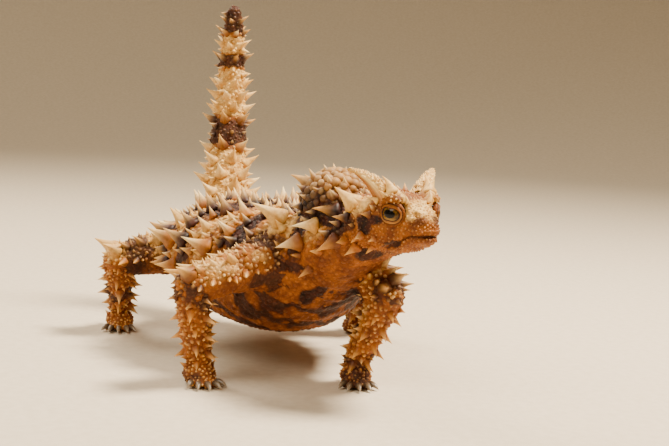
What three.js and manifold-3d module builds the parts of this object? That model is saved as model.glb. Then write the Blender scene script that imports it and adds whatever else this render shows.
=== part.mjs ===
// A thorny devil (Moloch horridus), life size, standing on four feet in mid-step with its tail raised.
// Millimetres, +Z up. The animal is laid out in a body frame: +X towards the head, +Y to its left,
// z = 0 the ground under its feet. The finished group is then moved so that the origin is the centre
// of the bottom of its bounding box.
import * as THREE from "three";
import { mergeVertices } from "three/addons/utils/BufferGeometryUtils.js";
import Module from "manifold-3d";

const wasm = await Module();
wasm.setup();

// Driving dimensions
const GAP = 0.3; // space that two touching pieces keep
const SPINE_SINK = 0.9; // how deep the root of a spine is sunk
const SEAM_ROOM = 1.1; // spines keep this far from the seam of their own piece
const FLOOR_ROOM = 0.4; // spines end this far above the ground
const BODY_SIDES = 20;
const LIMB_SIDES = 10;
const TOE_SIDES = 6;
const THORN_SIDES = 5;
const SEED = 4108;

// Trunk: stations along X, each with the height of the centre, half width, and depth above and below it
const TRUNK = [
  { x: -38, y: 0.0, z: 22.6, w: 5.4, up: 5.0, down: 4.8 },
  { x: -31, y: 0.0, z: 21.8, w: 10.0, up: 7.6, down: 8.0 },
  { x: -21, y: 0.0, z: 21.4, w: 16.5, up: 10.0, down: 11.4 },
  { x: -9, y: 0.0, z: 21.4, w: 20.6, up: 11.6, down: 13.4 },
  { x: 4, y: 0.2, z: 21.8, w: 20.6, up: 11.6, down: 14.4 },
  { x: 14, y: 0.9, z: 22.6, w: 17.4, up: 11.0, down: 14.8 },
  { x: 23, y: 2.2, z: 24.6, w: 13.0, up: 9.2, down: 13.0 },
  { x: 30, y: 4.2, z: 27.4, w: 9.2, up: 7.4, down: 10.0 },
  { x: 35, y: 6.8, z: 29.8, w: 7.2, up: 5.8, down: 7.6 },
];

// Neck: from the shoulders to the back of the head, which is turned to the left
const NECK = [
  { at: [24, 2.4, 25.2], w: 10.2, up: 7.8, down: 10.0 },
  { at: [30, 4.4, 28.4], w: 8.8, up: 7.0, down: 8.6 },
  { at: [36, 7.8, 31.9], w: 8.0, up: 6.2, down: 7.2 },
  { at: [41, 11.1, 34.1], w: 7.6, up: 5.6, down: 6.2 },
];

// Head: its own frame has the origin between the eyes, x to the snout, y left, z up
const HEAD_AT = [47.6, 12.5, 36.0];
const HEAD_YAW = 17; // degrees, to the left
const HEAD_PITCH = 7; // degrees, snout up
const HEAD_ROLL = 0;
const HEAD_ROUNDNESS = 2.4;
const HEAD = [
  { x: -11.5, y: 0, z: -1.6, w: 6.0, up: 4.6, down: 4.8 },
  { x: -8.8, y: 0, z: -1.4, w: 8.0, up: 5.6, down: 5.6 },
  { x: -5.0, y: 0, z: -1.2, w: 8.0, up: 6.0, down: 5.6 },
  { x: -1.0, y: 0, z: -1.0, w: 6.8, up: 5.9, down: 5.2 },
  { x: 1.8, y: 0, z: -1.4, w: 5.2, up: 5.2, down: 4.5 },
  { x: 4.1, y: 0, z: -1.9, w: 3.8, up: 4.3, down: 3.5 },
  { x: 6.0, y: 0, z: -2.5, w: 2.5, up: 3.1, down: 2.4 },
  { x: 7.0, y: 0, z: -2.9, w: 1.4, up: 1.8, down: 1.4 },
];
const EYE_RADIUS = 2.3;
const EYE_AT = [1.3, 4.0, 0.9];
const LID = { radius: 2.3, tube: 0.5, out: 1.5, stretch: [1.05, 0.86, 1], turn: 14 };
const BROW = { at: [0.8, 4.5, 3.4], size: [3.2, 1.7, 1.4] };
const HORN = { base: [-1.4, 4.3, 3.3], tip: [-4.5, 10.2, 9.3], radius: 2.5, bend: [0.6, -0.3, 0.7] };
const HORN_SIDES = 8;
const HORN_SOCKET = 0.45; // space round a horn's root in the head
const MOUTH = { z: -3.8, back: -2.0, groove: 0.5, depth: 0.7 };
const NOSTRIL = { at: [5.3, 2.1, 0.5], size: [0.65, 0.65, 0.65] };
const EAR = { at: [-6.0, 8.5, -1.7], size: [1.5, 1.0, 1.9] };

// The hump on the nape: its knob, the pair of big thorns beside it, and the rings of lumps on it
const HUMP = { at: [30.4, 4.0, 36.6], size: [7.4, 6.6, 6.4] };
const HUMP_THORN = { radius: 2.1, sides: 7, root: [105, 30], sink: 0.6, tip: [112, 38] };
const HUMP_THORN_OUT = [-2.4, 3.4, 1.2];
const HUMP_THORN_BEND = [0, 0, 0.6];
const HUMP_LUMP = { sides: 6, sink: 0.88, varies: 0.2 };
const HUMP_RINGS = [
  { rise: 84, count: 3, size: 1.4 },
  { rise: 56, count: 6, size: 1.4 },
  { rise: 28, count: 9, size: 1.3 },
];

// Tail: rises from the rump and stands upright
const TAIL = [
  { at: [-30, 0.0, 21.8], r: 7.2 },
  { at: [-38.4, 0.2, 26.4], r: 5.8 },
  { at: [-45.4, 1.0, 38.0], r: 4.6 },
  { at: [-48.8, 2.0, 49.0], r: 3.9 },
  { at: [-49.6, 2.2, 59.0], r: 3.3 },
  { at: [-48.4, 1.8, 69.0], r: 2.6 },
  { at: [-46.6, 1.4, 77.0], r: 1.5 },
];
const TAIL_CUTS = [0.42, 0.72]; // where the tail is divided, as shares of its length

// Limbs: joints of the bones, and the half thickness of the flesh along each segment
const LIMBS = {
  front_right: {
    names: ["upper_arm", "forearm", "hand"],
    joints: [[23.5, -5.6, 24.4], [29.4, -24.0, 20.0], [25.4, -20.9, 4.6]],
    radii: [[5.4, 4.2, 3.4], [3.3, 2.9, 2.5]],
    toes: { heading: 4, length: 4.2, spread: 36 },
  },
  front_left: {
    names: ["upper_arm", "forearm", "hand"],
    joints: [[23.5, 10.0, 24.4], [36.4, 13.9, 19.4], [29.4, 10.6, 4.6]],
    radii: [[5.4, 4.2, 3.4], [3.3, 2.9, 2.5]],
    toes: { heading: -12, length: 4.2, spread: 36 },
  },
  hind_right: {
    names: ["thigh", "shin", "foot"],
    joints: [[-24.0, -8.5, 20.4], [-22.0, -29.0, 17.2], [-30.4, -26.8, 4.6]],
    radii: [[6.2, 4.9, 3.6], [3.4, 2.8, 2.4]],
    toes: { heading: -12, length: 4.9, spread: 32 },
  },
  hind_left: {
    names: ["thigh", "shin", "foot"],
    joints: [[-23.0, 8.5, 20.4], [-16.5, 30.6, 17.0], [-21.5, 28.6, 4.6]],
    radii: [[6.2, 4.9, 3.6], [3.4, 2.8, 2.4]],
    toes: { heading: 12, length: 4.9, spread: 32 },
  },
};
// How the flesh along a bone is rounded off: how far past each joint, and how thick there, as shares
// of the half thickness at that joint
const SEGMENT_START = [0.5, 0.6];
const SEGMENT_END = [0.75, 0.45];
const PALM = { size: [3.7, 3.2, 2.3], ahead: 0.8, height: 1.9, room: 1 };
const TOE = { radius: 1.1, taper: [1.1, 0.95, 0.8], heights: [1.25, 1.2, 0.8], along: [0, 0.62, 1] };
const TOE_START = 1.5; // from the middle of the palm
const CLAW = { length: 2.2, radius: 0.65, height: 1.1, tip: 0.4, sink: 0.5, sides: 4 };
const DIGITS = 5;

// Rows of thorns on the trunk: the angle of a row from the left side over the back, its length and width
const TRUNK_ROWS = [
  { angle: 76, length: 3.6, radius: 1.25, step: 7.2, from: -31, to: 24 },
  { angle: 54, length: 5.2, radius: 1.7, step: 8.2, from: -27, to: 20 },
  { angle: 33, length: 4.2, radius: 1.4, step: 7.4, from: -30, to: 20 },
  { angle: 13, length: 6.4, radius: 1.9, step: 8.0, from: -27, to: 18 },
  { angle: -9, length: 4.2, radius: 1.4, step: 7.6, from: -23, to: 14 },
  { angle: -30, length: 2.0, radius: 0.9, step: 8.4, from: -19, to: 13 },
];
const TRUNK_LEAN = 0.55;
const TRUNK_VARIES = { start: 2, size: 0.18, step: 0.12, angle: 5 };
const TAILWARD = [-1, 0, 0.15];
// The long thorn on each shoulder, which points outward
const SHOULDER_THORN = { x: 24.6, angle: 52, length: 7.4, radius: 2.1, lean: 0.9, out: [-0.25, 1, -0.1] };

// Thorns of the neck, on each side below and behind the hump
const NECK_THORNS = [
  { u: 0.65, angle: 44, length: 4.6 },
  { u: 0.47, angle: 28, length: 4.4 },
  { u: 0.64, angle: -10, length: 4.4 },
  { u: 0.32, angle: 8, length: 5.0 },
  { u: 0.3, angle: -32, length: 2.6 },
];
const NECK_THORN = { lean: 0.9, out: [-0.45, 0.8, -0.65], slender: 0.34, varies: 0.1 };

// Thorns of the head: temple, back of the head, cheek and brow
const HEAD_THORNS = [
  { u: 0.19, angle: 40, length: 5.2, radius: 1.9, lean: 0.35 },
  { u: 0.16, angle: 12, length: 3.0, radius: 1.1, lean: 1.0 },
  { u: 0.13, angle: -14, length: 2.8, radius: 1.1, lean: 1.1 },
  { u: 0.2, angle: -40, length: 3.0, radius: 1.1, lean: 1.0 },
  { u: 0.3, angle: 36, length: 2.4, radius: 1.0, lean: 0.6 },
  { u: 0.36, angle: 14, length: 1.6, radius: 0.8, lean: 0.9 },
  { u: 0.32, angle: -48, length: 1.6, radius: 0.8, lean: 0.8 },
  { u: 0.6, angle: 64, length: 2.2, radius: 0.8, lean: 0.2 },
  { u: 0.68, angle: 58, length: 1.4, radius: 0.6, lean: 0.1 },
  { u: 0.52, angle: 62, length: 3.4, radius: 1.1, lean: 0.3 },
];

// Whorls of thorns round the tail. A thorn's length and radius are each a size and a share of the
// tail's half thickness there.
const TAIL_WHORLS = { count: 15, from: 0.17, span: 0.8, thorns: 6, lean: -0.45, varies: 0.15 };
const TAIL_THORN = { length: [1.3, 0.52], radius: [0.3, 0.22] };

// Thorns of the limbs: rows along each segment, and a cluster of longer ones at the elbow or knee
const LIMB_ROWS = [-150, -95, -45, 10, 60, 115];
const ROW_THORNS = 4;
const LIMB_THORNS = [
  { from: 0.5, to: 0.8, lean: -0.5, underside: -0.25 },
  { from: 0.34, to: 0.74, lean: -0.35, underside: -1 },
];
const LIMB_THORN = { front: 2.2, hind: 2.4, varies: 0.25, angle: 10, radius: [0.2, 0.28] };
const TOP_RISE = 0.3; // a thorn whose normal rises more than this stands on top
const UPPER_GAIN = 1.4; // thorns on top of the upper segment are this much longer
const JOINT_GAIN = 1.35; // and those nearest the elbow or knee once more

// Planes where the trunk, neck, head and tail are parted
const NECK_CUT = { at: [28.6, 0, 26], ahead: [0.9, 0.1, 0.42] };
const RUMP_CUT = { at: [-35.2, 0, 24], ahead: [-0.9, 0, 0.43] };
const HEAD_CUT = { at: [-9.6, 0, 0], ahead: [1, 0, 0.1] }; // in the head's frame

const COLOURS = {
  skin: [0xb5773a, 0.75],
  pale: [0xe2c08a, 0.7],
  eye: [0x20140c, 0.15],
  horn: [0xd9b87c, 0.5],
};

// A repeatable random number from 0 to 1
let state = SEED;
function draw() {
  state = (Math.imul(state, 1664525) + 1013904223) >>> 0;
  return state / 4294967296;
}
const vary = (amount) => 1 + amount * (2 * draw() - 1);
const rad = THREE.MathUtils.degToRad;
const vec = (p) => new THREE.Vector3(...p);
const mirrored = (p, side) => [p[0], p[1] * side, p[2]];
const sided = (angle, side) => rad(side > 0 ? angle : 180 - angle);
const grown = (size, extra) => size.map((v) => v + extra);

const headFrame = new THREE.Matrix4().makeRotationFromEuler(
  new THREE.Euler(rad(HEAD_ROLL), rad(-HEAD_PITCH), rad(HEAD_YAW), "ZYX"),
);
headFrame.setPosition(...HEAD_AT);

// Closed solids for manifold-3d
function solidOf(geometry) {
  const bare = new THREE.BufferGeometry();
  bare.setAttribute("position", geometry.getAttribute("position").clone());
  if (geometry.index) bare.setIndex(geometry.index.clone());
  const merged = mergeVertices(bare, 1e-4);
  return new wasm.Manifold(
    new wasm.Mesh({
      numProp: 3,
      vertProperties: new Float32Array(merged.attributes.position.array),
      triVerts: new Uint32Array(merged.index.array),
    }),
  );
}
const joined = (solids) => solids.reduce((a, b) => a.add(b));
function largest(solid) {
  const bodies = solid.decompose();
  return bodies.reduce((a, b) => (b.volume() > a.volume() ? b : a));
}

// A closed skin over rings of points, all with the same number of points, and an apex if there is one
function skinOf(rings, apex) {
  const sides = rings[0].length;
  const points = rings.flat();
  const index = [];
  for (let i = 0; i + 1 < rings.length; i++) {
    for (let j = 0; j < sides; j++) {
      const a = i * sides + j;
      const b = i * sides + ((j + 1) % sides);
      index.push(a, b, b + sides, a, b + sides, a + sides);
    }
  }
  for (const [ring, flip] of [[0, true], [rings.length - 1, false]]) {
    const centre = new THREE.Vector3();
    rings[ring].forEach((p) => centre.add(p));
    points.push(!flip && apex ? apex : centre.divideScalar(sides));
    const c = points.length - 1;
    for (let j = 0; j < sides; j++) {
      const a = ring * sides + j;
      const b = ring * sides + ((j + 1) % sides);
      if (flip) index.push(c, b, a);
      else index.push(c, a, b);
    }
  }
  const geometry = new THREE.BufferGeometry();
  geometry.setAttribute(
    "position",
    new THREE.Float32BufferAttribute(points.flatMap((p) => [p.x, p.y, p.z]), 3),
  );
  geometry.setIndex(index);
  return geometry;
}

// A form is a tube with a varying oval section. section(u) gives the centre, the left and up axes
// and the half sizes at u from 0 to 1.
class Form {
  constructor(section, rings, sides, roundness = 2.2) {
    Object.assign(this, { section, rings, sides, roundness });
  }
  point(u, angle, grow = 0) {
    const s = this.section(u);
    const c = Math.cos(angle);
    const t = Math.sin(angle);
    const power = 2 / this.roundness;
    const side = Math.sign(c) * Math.abs(c) ** power * (s.w + grow);
    const rise = Math.sign(t) * Math.abs(t) ** power * ((t > 0 ? s.up : s.down) + grow);
    return s.at.clone().addScaledVector(s.left, side).addScaledVector(s.above, rise);
  }
  normal(u, angle) {
    const step = 0.01;
    const along = this.point(Math.min(u + step, 1), angle).sub(this.point(u - step, angle));
    const round = this.point(u, angle + step).sub(this.point(u, angle - step));
    return round.cross(along).normalize();
  }
  solid(grow = 0) {
    const rings = [];
    for (let i = 0; i <= this.rings; i++) {
      const ring = [];
      for (let j = 0; j < this.sides; j++) {
        ring.push(this.point(i / this.rings, (2 * Math.PI * j) / this.sides, grow));
      }
      rings.push(ring);
    }
    if (grow) {
      for (const [ring, next] of [[0, 1], [rings.length - 1, rings.length - 2]]) {
        const out = this.section(ring ? 1 : 0).at.clone();
        out.sub(this.section(next / this.rings).at).setLength(grow);
        rings[ring].forEach((p) => p.add(out));
      }
    }
    return solidOf(skinOf(rings));
  }
}

// A smooth value between evenly spaced values, at u from 0 to 1
function eased(values, u) {
  const last = values.length - 1;
  const place = THREE.MathUtils.clamp(u, 0, 1) * last;
  const i = Math.min(Math.floor(place), last - 1);
  const t = place - i;
  const value = (k) => values[THREE.MathUtils.clamp(k, 0, last)];
  const [a, b, c, d] = [value(i - 1), value(i), value(i + 1), value(i + 2)];
  return b + 0.5 * t * (c - a + t * (2 * a - 5 * b + 4 * c - d + t * (3 * (b - c) + d - a)));
}

// A straight form along X, such as the trunk, or the head in its own frame
function straightForm(rows, rings, sides, frame = new THREE.Matrix4(), roundness = 2.2) {
  const left = new THREE.Vector3(0, 1, 0).transformDirection(frame);
  const above = new THREE.Vector3(0, 0, 1).transformDirection(frame);
  return new Form((u) => {
    const value = (key) => eased(rows.map((row) => row[key]), u);
    const [x, y, z, w, up, down] = ["x", "y", "z", "w", "up", "down"].map(value);
    return { at: new THREE.Vector3(x, y, z).applyMatrix4(frame), left, above, w, up, down };
  }, rings, sides, roundness);
}

// A bent form along a curve, with its sections square to the curve and their tops kept up.
// rows give w, up and down, or one radius r.
function bentForm(rows, rings, sides, top = [0, 0, 1], roundness = 2) {
  const place = (u) => vec([0, 1, 2].map((k) => eased(rows.map((row) => row.at[k]), u)));
  const size = (key, u) => eased(rows.map((row) => row[key] ?? row.r), u);
  return new Form((u) => {
    const ahead = place(u + 0.01).sub(place(u - 0.01)).normalize();
    const left = vec(top).cross(ahead).normalize();
    const above = ahead.clone().cross(left);
    const [w, up, down] = ["w", "up", "down"].map((key) => size(key, u));
    return { at: place(u), left, above, w, up, down };
  }, rings, sides, roundness);
}

function ball(at, size, columns = 14, rows = 10, frame = new THREE.Matrix4()) {
  const geometry = new THREE.SphereGeometry(1, columns, rows);
  geometry.scale(...size);
  geometry.translate(...at);
  geometry.applyMatrix4(frame);
  return solidOf(geometry);
}

// The half of space beyond a plane, as a big box whose face is the plane
const REACH = 200;
function beyond(point, normal, back = 0) {
  const geometry = new THREE.BoxGeometry(REACH, REACH, REACH);
  geometry.translate(0, 0, REACH / 2 - back);
  const turn = new THREE.Quaternion();
  turn.setFromUnitVectors(new THREE.Vector3(0, 0, 1), normal.clone().normalize());
  geometry.applyQuaternion(turn);
  geometry.translate(point.x, point.y, point.z);
  return solidOf(geometry);
}

// A thorn: a cone from a sunk root to a point, with more levels where it bends
const BENT_PROFILE = [[0, 1], [0.35, 0.78], [0.7, 0.4]]; // share of the length, share of the radius
const thorns = [];
function thornSolid(root, tip, radius, sides, bend) {
  const along = tip.clone().sub(root);
  const length = along.length();
  const ahead = along.clone().divideScalar(length);
  const side = Math.abs(ahead.z) < 0.9 ? new THREE.Vector3(0, 0, 1) : new THREE.Vector3(1, 0, 0);
  const left = side.cross(ahead).normalize();
  const above = ahead.clone().cross(left);
  const levels = bend ? BENT_PROFILE : [[0, 1]];
  const rings = levels.map(([share, size]) => {
    const centre = root.clone().addScaledVector(along, share);
    if (bend) centre.addScaledVector(bend, Math.sin(Math.PI * share));
    const ring = [];
    for (let j = 0; j < sides; j++) {
      const a = (2 * Math.PI * j) / sides;
      const p = centre.clone().addScaledVector(left, Math.cos(a) * radius * size);
      ring.push(p.addScaledVector(above, Math.sin(a) * radius * size));
    }
    return ring;
  });
  return solidOf(skinOf(rings, tip));
}

// The least distance between two straight thorns
function apart(a, b) {
  let least = Infinity;
  for (let i = 0; i <= 6; i++) {
    const p = a.root.clone().lerp(a.tip, i / 6);
    const line = new THREE.Line3(b.root, b.tip);
    least = Math.min(least, line.closestPointToPoint(p, true, new THREE.Vector3()).distanceTo(p));
  }
  return least;
}

// Plants one thorn on a form. lean turns it from the surface's normal towards the direction back.
function plant(node, form, u, angle, { length, radius, lean, back }) {
  const normal = form.normal(u, angle);
  const foot = form.point(u, angle);
  const tailward = back || form.section(u).at.sub(form.section(u + 0.02).at).normalize();
  const ahead = normal.clone().addScaledVector(tailward, lean).normalize();
  const thorn = {
    node,
    root: foot.clone().addScaledVector(ahead, -SPINE_SINK),
    tip: foot.clone().addScaledVector(ahead, length),
    radius,
  };
  if (thorn.tip.z < FLOOR_ROOM || foot.z < radius + FLOOR_ROOM) return;
  const crowded = (other) => other.node !== node && apart(thorn, other) < radius + other.radius + GAP;
  if (thorns.some(crowded)) return;
  thorns.push(thorn);
}

// The thorns of one node, cut clear of the forms beside it
function thornsOf(node, beside) {
  const own = thorns.filter((thorn) => thorn.node === node);
  if (!own.length) return null;
  const all = joined(own.map(({ root, tip, radius }) => thornSolid(root, tip, radius, THORN_SIDES)));
  return beside.reduce((solid, form) => solid.subtract(form), all);
}

// Forms
const trunk = straightForm(TRUNK, 16, BODY_SIDES);
const neck = bentForm(NECK, 6, BODY_SIDES);
const head = straightForm(HEAD, 12, BODY_SIDES, headFrame, HEAD_ROUNDNESS);
const tail = bentForm(TAIL, 24, LIMB_SIDES, [1, 0, 0.3]);

function segment(from, to, radii) {
  const middle = from.map((v, k) => (v + to[k]) / 2);
  const rows = [from, middle, to].map((at, k) => ({ at, r: radii[k] }));
  const ahead = vec(to).sub(vec(from)).normalize();
  const start = vec(from).addScaledVector(ahead, -radii[0] * SEGMENT_START[0]);
  const end = vec(to).addScaledVector(ahead, radii[2] * SEGMENT_END[0]);
  rows.unshift({ at: start.toArray(), r: radii[0] * SEGMENT_START[1] });
  rows.push({ at: end.toArray(), r: radii[2] * SEGMENT_END[1] });
  return bentForm(rows, 7, LIMB_SIDES, [0.9, 0, 0.45]);
}

// Where the trunk's centre line reaches x, as a share of its length
function trunkAt(x) {
  let low = 0;
  let high = 1;
  for (let i = 0; i < 20; i++) {
    const middle = (low + high) / 2;
    if (trunk.section(middle).at.x < x) low = middle;
    else high = middle;
  }
  return low;
}

// Trunk: first the long thorn of each shoulder, then the rows
for (const side of [1, -1]) {
  const { x, angle, out, ...thorn } = SHOULDER_THORN;
  plant("torso", trunk, trunkAt(x), sided(angle, side), { ...thorn, back: vec(mirrored(out, side)) });
}
for (const row of TRUNK_ROWS) {
  const { start, size, step, angle } = TRUNK_VARIES;
  for (const side of [1, -1]) {
    for (let x = row.from + start * draw(); x < row.to; x += row.step * vary(step)) {
      const big = vary(size);
      plant("torso", trunk, trunkAt(x), sided(row.angle, side) + rad(angle * (draw() - 0.5)), {
        length: row.length * big,
        radius: row.radius * big,
        lean: TRUNK_LEAN,
        back: vec(TAILWARD),
      });
    }
  }
}

// Neck and head
for (const { u, angle, length } of NECK_THORNS) {
  for (const side of [1, -1]) {
    plant("neck", neck, u, sided(angle, side), {
      length: length * vary(NECK_THORN.varies),
      radius: length * NECK_THORN.slender,
      lean: NECK_THORN.lean,
      back: vec(mirrored(NECK_THORN.out, side)),
    });
  }
}
for (const thorn of HEAD_THORNS) {
  for (const side of [1, -1]) plant("head", head, thorn.u, sided(thorn.angle, side), thorn);
}

// Tail
const tailLength = TAIL.slice(1).reduce((sum, row, i) => sum + vec(row.at).distanceTo(vec(TAIL[i].at)), 0);
const tailNode = (u) => (u < TAIL_CUTS[0] ? "tail_base" : u < TAIL_CUTS[1] ? "tail_middle" : "tail_tip");
for (let i = 0; i < TAIL_WHORLS.count; i++) {
  const u = TAIL_WHORLS.from + (TAIL_WHORLS.span * i) / TAIL_WHORLS.count;
  if (TAIL_CUTS.some((seam) => Math.abs(seam - u) < SEAM_ROOM / tailLength)) continue;
  const thick = tail.section(u).w;
  for (let j = 0; j < TAIL_WHORLS.thorns; j++) {
    const angle = (360 * (j + 0.5 * (i % 2))) / TAIL_WHORLS.thorns;
    plant(tailNode(u), tail, u, rad(angle), {
      length: (TAIL_THORN.length[0] + TAIL_THORN.length[1] * thick) * vary(TAIL_WHORLS.varies),
      radius: TAIL_THORN.radius[0] + TAIL_THORN.radius[1] * thick,
      lean: TAIL_WHORLS.lean,
    });
  }
}

// Limbs: the form of each segment, and its rows of thorns
const nodes = new Map();
const limbForms = {};
for (const [limb, { joints, radii }] of Object.entries(LIMBS)) {
  limbForms[limb] = radii.map((sizes, k) => segment(joints[k], joints[k + 1], sizes));
}
for (const [limb, { names }] of Object.entries(LIMBS)) {
  const [place, side] = limb.split("_");
  limbForms[limb].forEach((form, k) => {
    const { from, to, lean, underside } = LIMB_THORNS[k];
    LIMB_ROWS.forEach((angle, row) => {
      for (let i = 0; i < ROW_THORNS; i++) {
        const u = from + ((to - from) * (i + 0.5 * (row % 2))) / (ROW_THORNS - 0.5);
        const rise = form.normal(u, rad(angle)).z;
        if (rise < underside) continue;
        const onTop = k === 0 && rise > TOP_RISE;
        const gain = onTop ? UPPER_GAIN * (i === ROW_THORNS - 1 ? JOINT_GAIN : 1) : 1;
        const length = LIMB_THORN[place] * gain * vary(LIMB_THORN.varies);
        const turn = rad(angle + LIMB_THORN.angle * (draw() - 0.5));
        const radius = LIMB_THORN.radius[0] + LIMB_THORN.radius[1] * length;
        plant(`${names[k]}_${side}`, form, u, turn, { length, radius, lean });
      }
    });
  });
}

// A foot: its sole, and toes that spread and end in claws
const palmOf = (joints, forward) =>
  vec([joints[2][0], joints[2][1], PALM.height]).addScaledVector(forward, PALM.ahead);
function footOf({ joints, toes }) {
  const heading = rad(toes.heading);
  const forward = new THREE.Vector3(Math.cos(heading), Math.sin(heading), 0);
  const palm = palmOf(joints, forward);
  const turn = new THREE.Matrix4().makeRotationZ(heading).setPosition(palm);
  const parts = [ball([0, 0, 0], PALM.size, 10, 7, turn)];
  for (let i = 0; i < DIGITS; i++) {
    const share = i / (DIGITS - 1) - 0.5;
    const angle = heading + rad(2 * toes.spread * share);
    const out = new THREE.Vector3(Math.cos(angle), Math.sin(angle), 0);
    const length = toes.length * (1 - share * share);
    const rows = TOE.along.map((along, k) => {
      const at = palm.clone().addScaledVector(out, TOE_START + along * length).setZ(TOE.heights[k]);
      return { at: at.toArray(), r: TOE.radius * TOE.taper[k] };
    });
    parts.push(bentForm(rows, 2, TOE_SIDES).solid());
    const end = vec(rows[2].at);
    const clawRoot = end.clone().addScaledVector(out, -CLAW.sink).setZ(CLAW.height);
    const clawTip = end.clone().addScaledVector(out, CLAW.length).setZ(CLAW.tip);
    parts.push(thornSolid(clawRoot, clawTip, CLAW.radius, CLAW.sides));
  }
  return joined(parts);
}

const trunkGrown = trunk.solid(GAP);
const neckGrown = neck.solid(GAP);
const headGrown = head.solid(GAP);
const underground = beyond(new THREE.Vector3(0, 0, 0), new THREE.Vector3(0, 0, -1));
for (const [limb, spec] of Object.entries(LIMBS)) {
  const side = limb.split("_")[1];
  const [upper, lower] = limbForms[limb];
  const bodies = [
    upper.solid().subtract(trunkGrown).subtract(neckGrown),
    lower.solid().subtract(upper.solid(GAP)),
    footOf(spec).subtract(lower.solid(GAP)).subtract(underground),
  ];
  const heading = rad(spec.toes.heading);
  const palm = palmOf(spec.joints, new THREE.Vector3(Math.cos(heading), Math.sin(heading), 0));
  const footGrown = ball(palm.toArray(), grown(PALM.size, PALM.room));
  const beside = [
    [trunkGrown, neckGrown, lower.solid(GAP)],
    [trunkGrown, upper.solid(GAP), footGrown],
    [],
  ];
  bodies.forEach((body, k) => {
    const name = `${spec.names[k]}_${side}`;
    const own = thornsOf(name, beside[k]);
    const plain = largest(body);
    nodes.set(name, [own ? largest(plain.add(own)) : plain, "skin"]);
  });
}

// Trunk, neck, head and tail are joined, then parted by thin flat cuts
const brows = [1, -1].map((side) => ball(mirrored(BROW.at, side), BROW.size, 9, 6, headFrame));
const headSolid = joined([head.solid(), ...brows]);
const spineCore = joined([trunk.solid(), neck.solid(), headSolid, tail.solid()]);
const axisAt = (form, u) => ({
  at: form.section(u).at,
  ahead: form.section(u + 0.01).at.sub(form.section(u - 0.01).at).normalize(),
});
const plane = ({ at, ahead }) => ({ at: vec(at), ahead: vec(ahead).normalize() });
const neckCut = plane(NECK_CUT);
const rumpCut = plane(RUMP_CUT);
const headCut = {
  at: vec(HEAD_CUT.at).applyMatrix4(headFrame),
  ahead: vec(HEAD_CUT.ahead).transformDirection(headFrame),
};
const tailCuts = TAIL_CUTS.map((u) => axisAt(tail, u));
const front = ({ at, ahead }) => beyond(at, ahead, -GAP / 2);
const behind = ({ at, ahead }) => beyond(at, ahead.clone().negate(), -GAP / 2);

// One length of the joined flesh between two cuts, with its own thorns
function addCore(name, cuts, beside = [], finish = (solid) => solid) {
  const within = (solid) => cuts.reduce((rest, cut) => rest.intersect(cut), solid);
  const body = largest(within(spineCore)).add(within(thornsOf(name, beside)));
  nodes.set(name, [largest(finish(body)), "skin"]);
}
const limbsGrown = Object.values(limbForms).map(([upper]) => upper.solid(GAP));
const humpGrown = ball(HUMP.at, grown(HUMP.size, GAP));
addCore("torso", [behind(neckCut), behind(rumpCut)], [...limbsGrown, humpGrown]);
addCore("neck", [front(neckCut), behind(headCut)], [...limbsGrown, humpGrown, headGrown]);
addCore("tail_base", [front(rumpCut), behind(tailCuts[0])]);
addCore("tail_middle", [front(tailCuts[0]), behind(tailCuts[1])]);
addCore("tail_tip", [front(tailCuts[1])]);

// The head's eyes, lids, mouth, nostrils, ears and horns
const eyeBall = (side, extra) =>
  ball(mirrored(EYE_AT, side), Array(3).fill(EYE_RADIUS + extra), 12, 8, headFrame);
function lidRing(side) {
  const geometry = new THREE.TorusGeometry(LID.radius, LID.tube, 5, 14);
  geometry.scale(...LID.stretch);
  geometry.rotateX(Math.PI / 2);
  geometry.rotateZ(rad(-LID.turn * side));
  geometry.translate(EYE_AT[0], side * (EYE_AT[1] + LID.out), EYE_AT[2]);
  geometry.applyMatrix4(headFrame);
  return solidOf(geometry);
}
function mouthGroove() {
  const length = HEAD.at(-1).x - MOUTH.back + 2;
  const geometry = new THREE.BoxGeometry(length, 2 * HEAD[2].w + 4, MOUTH.groove);
  geometry.translate(MOUTH.back + length / 2, 0, MOUTH.z);
  geometry.applyMatrix4(headFrame);
  return solidOf(geometry).subtract(head.solid(-MOUTH.depth));
}
// A horn, or the socket that it stands in when it is grown
function hornSolid(side, extra = 0) {
  const base = vec(mirrored(HORN.base, side)).applyMatrix4(headFrame);
  const tip = vec(mirrored(HORN.tip, side)).applyMatrix4(headFrame);
  tip.add(tip.clone().sub(base).setLength(extra));
  const bend = vec(mirrored(HORN.bend, side)).applyMatrix4(headFrame).sub(vec(HEAD_AT));
  return thornSolid(base, tip, HORN.radius + extra, HORN_SIDES, bend);
}
const pit = ({ at, size }, side) => ball(mirrored(at, side), size, 7, 5, headFrame);
function withFace(solid) {
  let made = solid.add(lidRing(1)).add(lidRing(-1));
  for (const side of [1, -1]) {
    const hollows = [eyeBall(side, GAP), pit(NOSTRIL, side), pit(EAR, side), hornSolid(side, HORN_SOCKET)];
    made = hollows.reduce((rest, hollow) => rest.subtract(hollow), made);
  }
  return made.subtract(mouthGroove());
}
addCore("head", [front(headCut)], [neckGrown, humpGrown], withFace);

for (const [name, side] of [["left", 1], ["right", -1]]) {
  const browGrown = ball(mirrored(BROW.at, side), grown(BROW.size, GAP), 9, 6, headFrame);
  nodes.set(`eye_${name}`, [eyeBall(side, 0), "eye"]);
  nodes.set(`horn_${name}`, [largest(hornSolid(side).subtract(headGrown).subtract(browGrown)), "horn"]);
}

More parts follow.
